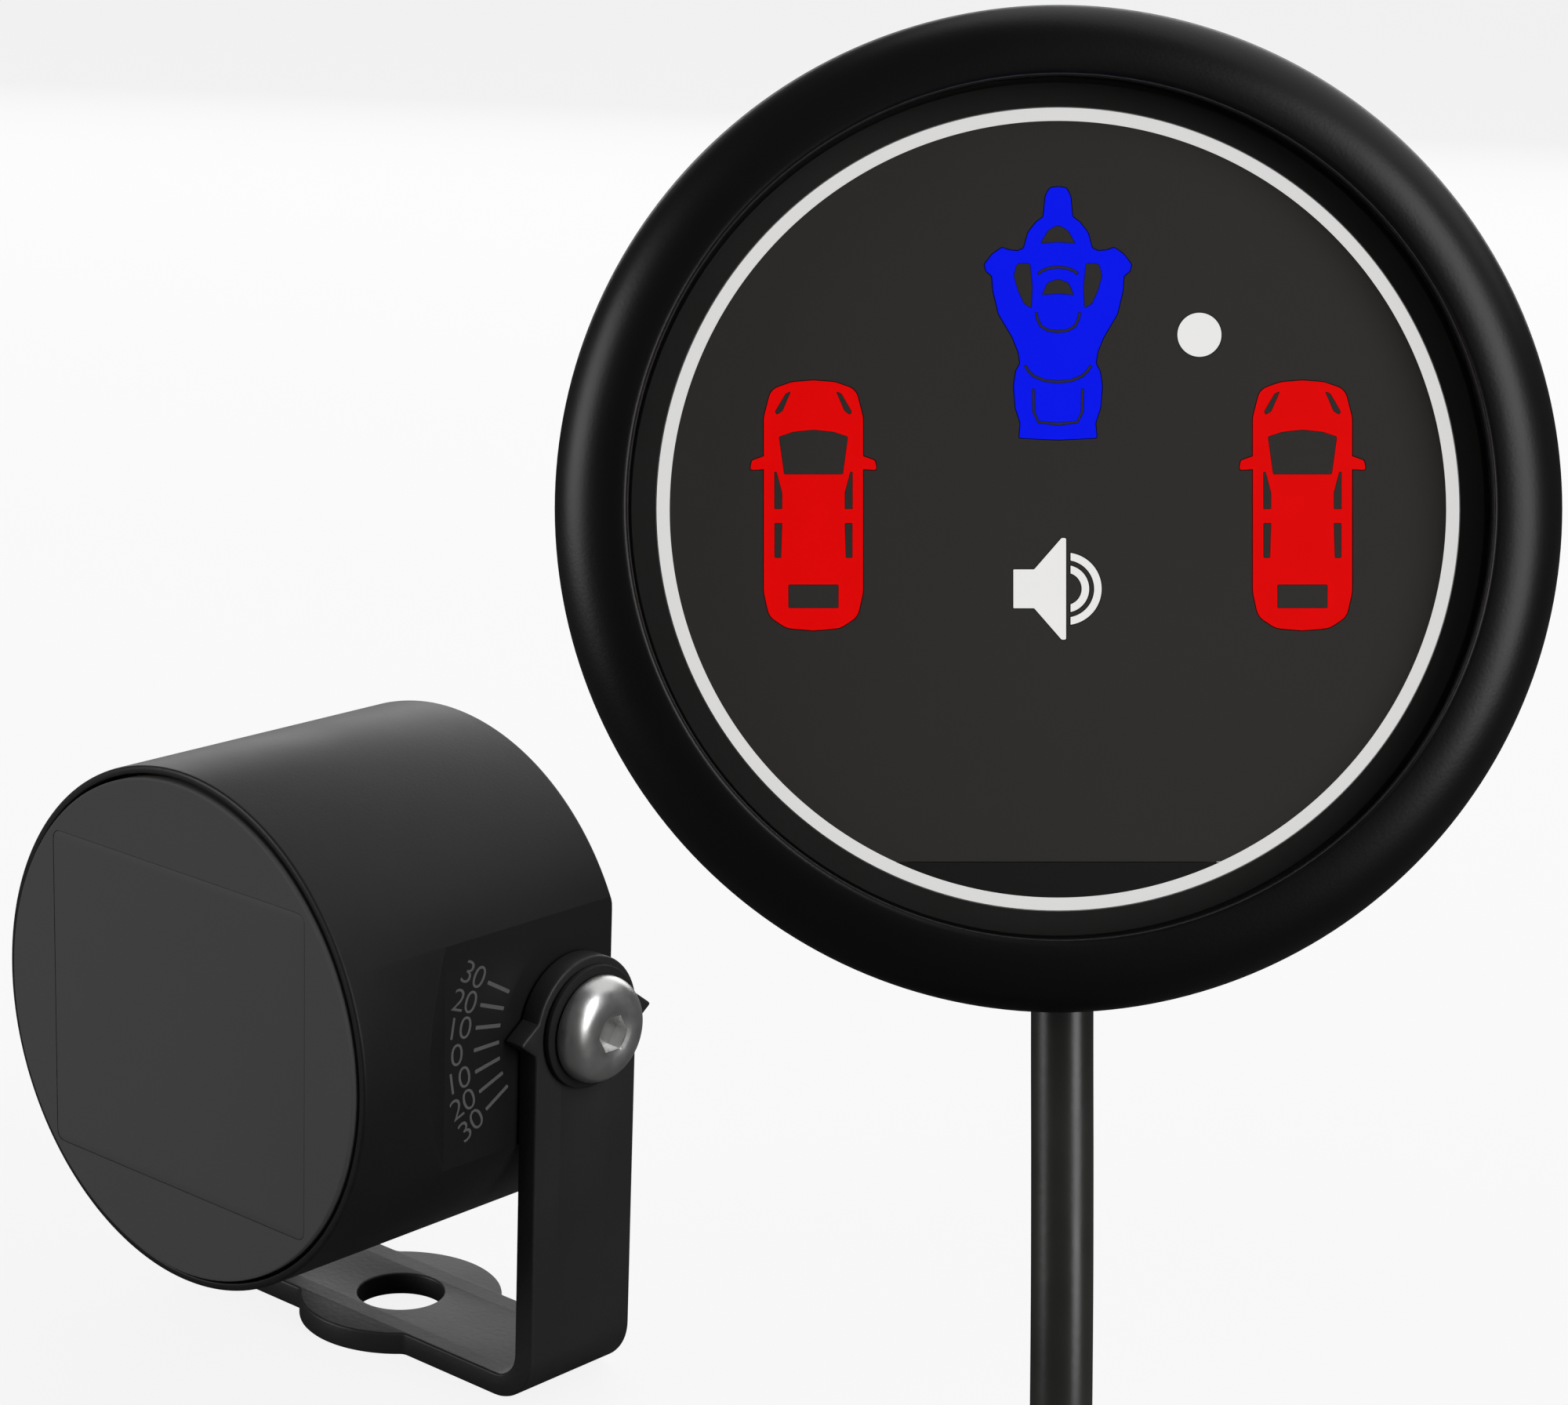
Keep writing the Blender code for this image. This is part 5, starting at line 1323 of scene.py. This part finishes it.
def symbol_list():
    """Every lit symbol: CAD node, finish, slot, outline and openings."""
    car, car_holes = car_outlines()
    rider, rider_holes = rider_outlines()
    speaker = softened([(-3.00, 1.12, 0.06), (-1.80, 1.12, 0.1), (-0.22, 2.93, 0.12), (0.04, 2.93, 0.1),
                        (0.04, -2.93, 0.1), (-0.22, -2.93, 0.12), (-1.80, -1.12, 0.1), (-3.00, -1.12, 0.06)])
    found = []
    for side, word in ((-1.0, "left"), (1.0, "right")):
        centre = (side * 14.1, 0.2)
        holes = [shifted(hole, centre) for hole in car_holes]
        found.append((f"car_symbol_{word}", "red", "light_red", shifted(car, centre), holes))
    found.append(("rider_symbol", "blue", "light_blue", rider, rider_holes))
    spot = (0.43, -4.60)
    found.append(("speaker_symbol", "white", "light_white", shifted(speaker, spot), []))
    inner, outer = wave_outline(0.94, 0.43, 0.30), wave_outline(1.66, 0.43, 0.30)
    found.append(("sound_wave_inner", "white", "light_white", shifted(inner, spot), []))
    found.append(("sound_wave_outer", "white", "light_white", shifted(outer, spot), []))
    found.append(("status_light", "white", "light_white", ring_of(1.27, 72, (8.16, 10.05)), []))
    return found


class RADAR_OT_face(bpy.types.Operator):
    """Build the face panel, its darker lower segment, the mask ring and the white ring"""

    bl_idname = "radar_set.face"
    bl_label = "Face"

    def execute(self, context):
        sizes = context.scene.radar_display
        inner, outer, gap = mm(sizes.ring_inner), mm(sizes.ring_outer), mm(sizes.gap)
        colours = context.scene.radar_colours
        look = finish_of(
            "printed face", tuple(colours.face), 0.50, specular=0.25, grain=3800.0, depth=0.004,
            mottle=0.05, uneven=0.05, cloud=45.0,
        )
        dark = finish_of(
            "printed face lower segment", (0.0200, 0.0197, 0.0190), 0.48, specular=0.25, grain=3800.0,
            depth=0.004, mottle=0.06, uneven=0.05,
        )
        rim = inner - gap
        chord = -20.33
        start = math.degrees(math.asin(chord / rim))
        upper = arc(rim, start, 180.0 - start, 220)
        lower = arc(rim, 180.0 - start + 0.15, 360.0 + start - 0.15, 40)
        lower = [(x, y - 0.02) for x, y in lower]
        windows = [grown(outline, gap) for _, _, _, outline, _ in symbol_list()]
        parts = [(plate("upper", [upper, *windows], PANEL_BACK, PANEL_FRONT), 0)]
        for hole in [hole for _, _, _, _, holes in symbol_list() for hole in holes]:
            parts.append((plate("island", [grown(hole, -gap / 2.0)], PANEL_BACK, PANEL_FRONT), 0))
        parts.append((plate("lower", [lower], PANEL_BACK, PANEL_FRONT - 0.02), 1))
        face = settle(joined("face", parts), DISPLAY_PLACE)
        present("display_face", face, FIXED, [look, dark], ["face_panel"])
        inside, outside = outer + gap, 24.6
        profile = [(inside, PANEL_BACK), (outside, PANEL_BACK), (outside, PANEL_FRONT), (inside, PANEL_FRONT)]
        mask = settle(lathe("mask", profile, 200), DISPLAY_PLACE)
        present("display_mask", mask, FIXED, [finishes()["mask"]], ["mask_ring"])
        profile = [(inner, GUIDE_BACK), (outer, GUIDE_BACK), (outer, PANEL_FRONT + 0.02, 0.05)]
        profile += [(inner, PANEL_FRONT + 0.02, 0.05)]
        ring = settle(lathe("ring", softened(profile, steps=3), 240), DISPLAY_PLACE)
        present("display_ring", ring, FIXED, [finishes()["ring"]], ["light_ring"])
        return {"FINISHED"}


class RADAR_OT_symbols(bpy.types.Operator):
    """Build the lit windows: two cars, the rider, the speaker with its waves and the dot"""

    bl_idname = "radar_set.symbols"
    bl_label = "Symbols"

    def execute(self, context):
        looks = finishes()
        for node, look, slot, outline, holes in symbol_list():
            mesh = plate(node, [outline, *holes], GUIDE_BACK, PANEL_FRONT)
            for face in mesh.polygons:
                face.material_index = 0 if face.normal.z > 0.5 else 1
            settle(mesh, DISPLAY_PLACE)
            present(f"lit_{node}", mesh, FIXED, [looks[look], looks["mask"]], [node])
        return {"FINISHED"}


class RADAR_OT_display_back(bpy.types.Operator):
    """Build the rear housing, the rim seal, the cable gland and the adhesive pad"""

    bl_idname = "radar_set.display_back"
    bl_label = "Display back"

    def execute(self, context):
        radius = 28.2
        spigot, bore, ledge = 26.2, 25.2, 23.8
        back, floor, shoulder = -12.0, -10.5, -5.0
        profile = [(0.0, back), (radius, back, 1.2), (radius, shoulder, 0.15), (spigot, shoulder)]
        profile += [(spigot, -2.1), (bore, -2.1), (bore, -6.5), (ledge, -6.5)]
        profile += [(ledge, floor, 0.5), (0.0, floor)]
        shell = lathe("shell", softened(profile, steps=6), 200)
        along = Matrix.Translation((0.8, 0.0, -8.4)) @ Matrix.Rotation(math.pi / 2.0, 4, "X")
        hole = lathe("hole", [(0.0, 20.0), (3.3, 20.0), (3.3, 32.0), (0.0, 32.0)], 48)
        shell = settle(carved(shell, [moved(hole, along)]), DISPLAY_PLACE)
        present("display_housing", shell, FIXED, [finishes()["plastic"]], ["rear_housing"])
        profile = [(BORE, -4.8, 0.1), (radius, -4.8, 0.15), (radius, -4.2, 0.15), (BORE, -4.2, 0.1)]
        seal = settle(lathe("seal", softened(profile, steps=3), 200), DISPLAY_PLACE)
        present("display_seal", seal, FIXED, [finishes()["rubber"]], ["rim_seal"])
        profile = [(2.2, 25.4), (3.0, 25.4), (3.0, 28.1, 0.2), (2.75, 28.8, 0.3), (2.2, 28.8, 0.1)]
        gland = moved(lathe("gland", softened(profile, steps=3), 64), along)
        settle(gland, DISPLAY_PLACE)
        present("display_gland", gland, FIXED, [finishes()["rubber"]], ["cable_gland"])
        profile = [(0.0, -13.2), (24.0, -13.2, 0.12), (24.0, -12.2, 0.12), (0.0, -12.2)]
        pad = settle(lathe("pad", softened(profile, steps=3), 160), DISPLAY_PLACE)
        present("display_pad", pad, FIXED, [finishes()["foam"]], ["adhesive_pad"])
        return {"FINISHED"}


# ---------------------------------------------------------------- cable and plug

# The cable hangs from its gland, turns into the coil and leaves it for the plug.
HANGING = [
    (111.5, -52.2, 75.4),
    (112.5, -53.1, 70.5),
    (114.2, -54.6, 62.3),
    (116.0, -56.25, 53.5),
    (117.3, -57.4, 45.0),
    (118.05, -58.05, 36.0),
    (118.26, -58.28, 30.0),
]
TAIL = [
    (104.0, -72.05, 1.95),
    (98.0, -72.05, 2.0),
    (92.0, -71.9, 2.7),
    (86.0, -71.6, 4.6),
    (80.5, -71.5, 6.3),
    (76.0, -71.5, 6.8),
]
COIL_CENTRE = (109.7, -48.5)
ENTRY_ANGLE = -48.8
ENTRY_RADIUS = 13.0
ENTRY_TURN = 150.0
ENTRY_BEND = 15.0
LOWEST = 1.95
MOVE_TURN = 60.0
COIL_TURN = 2561.2


def gently(share):
    """A smooth step from 0 to 1."""
    share = min(1.0, max(0.0, share))
    return share * share * (3.0 - 2.0 * share)


def coil_points(middle_radius, pitch):
    """The coil's points: into its top layer, then nine places in three layers, one place at a time."""
    inner, outer = middle_radius - pitch, middle_radius + pitch
    top, second = LOWEST + 2.0 * pitch, LOWEST + pitch
    moves = [
        (300.0, "radius", outer),
        (600.0, "height", second),
        (900.0, "radius", middle_radius),
        (1260.0, "radius", inner),
        (1560.0, "height", LOWEST),
        (1860.0, "radius", middle_radius),
        (2220.0, "radius", outer),
    ]
    points = []
    run = 0.0
    last = None
    turns = [0, 2, 6, 12, 20, 30, 42, 55, 70, 85, 100, 115, 130, 145]
    turns += [150 + 15 * step for step in range(int((COIL_TURN - 150.0) / 15.0) + 1)] + [COIL_TURN]
    for turn in turns:
        radius = ENTRY_RADIUS + (middle_radius - ENTRY_RADIUS) * gently(turn / ENTRY_TURN)
        height = top
        for start, what, new in moves:
            share = gently((turn - start) / MOVE_TURN)
            if what == "radius":
                radius += (new - radius) * share
            else:
                height += (new - height) * share
        angle = math.radians(ENTRY_ANGLE - turn)
        spot = Vector((COIL_CENTRE[0] + radius * math.cos(angle), COIL_CENTRE[1] + radius * math.sin(angle)))
        run += (spot - last).length if last is not None else 0.0
        last = spot
        if run < ENTRY_BEND:
            height += ENTRY_BEND - math.sqrt(ENTRY_BEND**2 - (ENTRY_BEND - run) ** 2)
        points.append((spot.x, spot.y, height))
    return points


class RADAR_OT_cable(bpy.types.Operator):
    """Lay the display's cable as one cord, from its gland through the coil to the plug"""

    bl_idname = "radar_set.cable"
    bl_label = "Cable"

    def execute(self, context):
        sizes = context.scene.radar_cable
        route = HANGING + coil_points(mm(sizes.coil), mm(sizes.pitch)) + TAIL
        data = bpy.data.curves.new("display_cord", "CURVE")
        data.dimensions = "3D"
        data.bevel_depth = sizes.diameter / 2.0
        data.bevel_resolution = 6
        data.resolution_u = 4
        data.use_fill_caps = True
        spline = data.splines.new("BEZIER")
        spline.bezier_points.add(len(route) - 1)
        for target, point in zip(spline.bezier_points, route):
            target.co = Vector(point) * MM
            target.handle_left_type = "AUTO"
            target.handle_right_type = "AUTO"
        data.materials.append(finishes()["jacket"])
        cord = bpy.data.objects.new("display_cord", data)
        context.scene.collection.objects.link(cord)
        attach(cord, FIXED)
        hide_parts("display_cable", "cable_coil", "cable_tail")
        return {"FINISHED"}


class RADAR_OT_plug(bpy.types.Operator):
    """Build the plug: ribbed boot, body, coupling nut and insert with pins"""

    bl_idname = "radar_set.plug"
    bl_label = "Plug"

    def execute(self, context):
        looks = finishes()
        end = Vector(TAIL[-1]) * MM
        place = Matrix.Translation(end) @ Matrix.Rotation(-math.pi / 2.0, 4, "Y")
        profile = [(1.95, 0.3), (2.5, 0.3, 0.2), (3.1, 3.0, 1.0), (4.8, 7.3, 0.8)]
        profile += [(4.8, 9.3, 0.2), (1.95, 9.3)]
        boot = lathe("boot", softened(profile, steps=4), 72)
        rib = lathe("rib", softened([(2.4, -0.3), (3.35, -0.3, 0.25), (3.35, 0.3, 0.25), (2.4, 0.3)]), 56)
        ribs = moved(copies_round(rib, looks["rubber"], 4, rise=1.25), Matrix.Translation((0.0, 0.0, 1.2)))
        mesh = settle(joined("boot", [(boot, 0), (ribs, 0)]), place)
        present("plug_strain_boot", mesh, FIXED, [looks["rubber"]], ["plug_boot"])
        low, high = 9.5, 24.5
        profile = [(0.0, low), (5.6, low, 0.4), (5.6, low + 4.0, 0.2), (5.2, low + 4.0), (5.2, high, 0.25)]
        profile += [(4.4, high, 0.15), (4.4, low + 5.0), (0.0, low + 5.0)]
        body = settle(lathe("plug", softened(profile, steps=4), 96), place)
        present("plug_shell", body, FIXED, [looks["plastic"]], ["plug_body"])
        nut_low, nut_high = low + 4.2, low + 12.2
        profile = [(5.5, nut_low, 0.15), (6.35, nut_low, 0.4), (6.35, nut_high, 0.4), (5.5, nut_high, 0.15)]
        nut = lathe("nut", softened(profile, steps=4), 96)
        square = softened([(-0.25, -0.25), (0.25, -0.25, 0.1), (0.25, 0.25, 0.1), (-0.25, 0.25)])
        ridge = plate("ridge", [square], nut_low + 1.0, nut_high - 1.0, 0.08)
        ridges = copies_round(ridge, looks["plastic"], 36, radius=6.33, step=10.0)
        mesh = settle(joined("nut", [(nut, 0), (ridges, 0)]), place)
        present("plug_coupling_nut", mesh, FIXED, [looks["plastic"]], ["plug_nut"])
        floor = low + 5.2
        face, root, tip = floor + 4.0, floor + 3.0, floor + 8.0
        profile = [(0.0, floor), (4.1, floor), (4.1, face, 0.3), (0.0, face)]
        insert = lathe("insert", softened(profile), 64)
        pin = lathe("pin", softened([(0.0, root), (0.5, root), (0.5, tip, 0.35), (0.0, tip)]), 20)
        pins = copies_round(pin, looks["brass"], 4, radius=2.0, step=90.0)
        mesh = settle(joined("insert", [(insert, 0), (pins, 1)]), place)
        both = [looks["insert"], looks["brass"]]
        present("plug_contacts", mesh, FIXED, both, ["plug_insert"])
        return {"FINISHED"}


# ---------------------------------------------------------------- pieces kept from the frame

KEPT = {
    "orange": ["radome_seal", "rear_seal", "plug_seal"],
    "rubber": ["lens_gasket"],
    "board": ["antenna_board", "processor_board", "circuit_board"],
    "tin": ["shield_can"],
    "chip": ["radar_processor", "controller_chip"],
    "plastic": ["cable_header", "buzzer"],
    "brass": ["board_spacer_left", "board_spacer_right", "pivot_insert_left", "pivot_insert_right"],
    "mask": ["light_baffle"],
    "lamp": ["led_car_left", "led_car_right", "led_rider", "led_speaker", "led_status"],
}


class RADAR_OT_inside(bpy.types.Operator):
    """Give every piece that is kept from the frame its finish"""

    bl_idname = "radar_set.inside"
    bl_label = "Inner pieces"

    def execute(self, context):
        looks = finishes()
        for look, nodes in KEPT.items():
            for node in nodes:
                piece = frame["nodes"][node]
                if not piece.material_slots:
                    piece.data.materials.append(looks[look])
                for holder in piece.material_slots:
                    holder.material = looks[look]
        return {"FINISHED"}


# ---------------------------------------------------------------- stage


def area_light(name, place, aim, size, power, colour=(1.0, 1.0, 1.0)):
    """A soft rectangular light aimed at a point."""
    data = bpy.data.lights.new(name, "AREA")
    data.shape = "RECTANGLE"
    data.size, data.size_y = size
    data.energy = power
    data.color = colour
    lamp = bpy.data.objects.new(name, data)
    lamp.location = place
    lamp.rotation_euler = (Vector(aim) - Vector(place)).to_track_quat("-Z", "Y").to_euler()
    bpy.context.scene.collection.objects.link(lamp)
    return lamp


def floor_finish(colour):
    """A plain pale sweep. It looks pale from the camera and throws little light up at the pieces."""
    made = finish_of(
        "pale floor", lighter(colour, -0.86), 0.85, specular=0.1, grain=300.0, depth=0.02,
        mottle=0.02, uneven=0.03, cloud=3.0,
    )
    tree = made.node_tree
    shader = tree.nodes["Principled BSDF"]
    seen = tree.nodes.new("ShaderNodeLightPath").outputs["Is Camera Ray"]
    shader.inputs["Emission Color"].default_value = (*colour, 1.0)
    tree.links.new(seen, shader.inputs["Emission Strength"])
    return made


class RADAR_OT_stage(bpy.types.Operator):
    """Set the camera, the soft studio lights and the pale floor"""

    bl_idname = "radar_set.stage"
    bl_label = "Stage"

    def execute(self, context):
        scene = context.scene
        studio = scene.radar_studio
        data = bpy.data.cameras.new("camera")
        data.lens = studio.focal
        data.sensor_width = 36.0
        data.sensor_fit = "HORIZONTAL"
        data.clip_start = 0.01
        camera = bpy.data.objects.new("camera", data)
        camera.matrix_world = Matrix.Translation(studio.camera) @ FACING
        scene.collection.objects.link(camera)
        scene.camera = camera
        floor = lathe("floor", [(0.0, -20.0), (2500.0, -20.0), (2500.0, 0.0), (0.0, 0.0)], 64)
        settle(floor, Matrix.Translation((0.0, 0.0, -0.05 * MM)))
        colour = tuple(scene.radar_colours.floor)
        floor.materials.append(floor_finish(colour))
        ground = bpy.data.objects.new("floor", floor)
        scene.collection.objects.link(ground)
        aim = (0.05, -0.03, 0.06)
        area_light("light_top", (0.08, 0.40, 0.68), aim, (1.00, 0.80), studio.top)
        area_light("light_side", (0.87, -0.04, 0.40), aim, (0.36, 0.90), studio.side)
        area_light("light_front", (-0.50, -0.75, 0.30), aim, (0.50, 0.60), studio.front)
        area_light("light_back", (-0.52, 0.68, 0.30), aim, (1.20, 0.45), studio.back)
        world = bpy.data.worlds.new("studio")
        world.use_nodes = True
        scene.world = world
        tree = world.node_tree
        background = tree.nodes["Background"]
        background.inputs["Color"].default_value = (1.0, 1.0, 1.0, 1.0)
        seen = tree.nodes.new("ShaderNodeLightPath").outputs["Is Camera Ray"]
        strength = math_node(tree, "MULTIPLY", seen, 1.0 - studio.surround)
        tree.links.new(math_node(tree, "ADD", strength, studio.surround), background.inputs["Strength"])
        scene.view_settings.view_transform = "Standard"
        scene.view_settings.look = "None"
        return {"FINISHED"}


# ---------------------------------------------------------------- add-on

OPERATORS = [
    RADAR_OT_stage,
    RADAR_OT_bracket,
    RADAR_OT_pod,
    RADAR_OT_radome,
    RADAR_OT_scale,
    RADAR_OT_pivots,
    RADAR_OT_pod_back,
    RADAR_OT_bezel,
    RADAR_OT_face,
    RADAR_OT_symbols,
    RADAR_OT_display_back,
    RADAR_OT_plug,
    RADAR_OT_cable,
    RADAR_OT_inside,
]


class RADAR_PT_panel(bpy.types.Panel):
    """Sizes, colours and builders of the radar set"""

    bl_idname = "RADAR_PT_panel"
    bl_label = "Radar set"
    bl_space_type = "VIEW_3D"
    bl_region_type = "UI"
    bl_category = "Radar set"

    def draw(self, context):
        for group, kind in GROUPS.items():
            box = self.layout.box()
            box.label(text=kind.__doc__)
            for name in kind.__annotations__:
                box.prop(getattr(context.scene, group), name)
        for operator in OPERATORS:
            self.layout.operator(operator.bl_idname)


def register():
    for kind in [*GROUPS.values(), *OPERATORS, RADAR_PT_panel]:
        bpy.utils.register_class(kind)
    for group, kind in GROUPS.items():
        setattr(bpy.types.Scene, group, bpy.props.PointerProperty(type=kind))


def unregister():
    for group in GROUPS:
        delattr(bpy.types.Scene, group)
    for kind in reversed([*GROUPS.values(), *OPERATORS, RADAR_PT_panel]):
        bpy.utils.unregister_class(kind)


def main():
    """Builds every piece round the frame."""
    register()
    for operator in OPERATORS:
        group, name = operator.bl_idname.split(".")
        getattr(getattr(bpy.ops, group), name)()


if __name__ == "__main__":
    main()
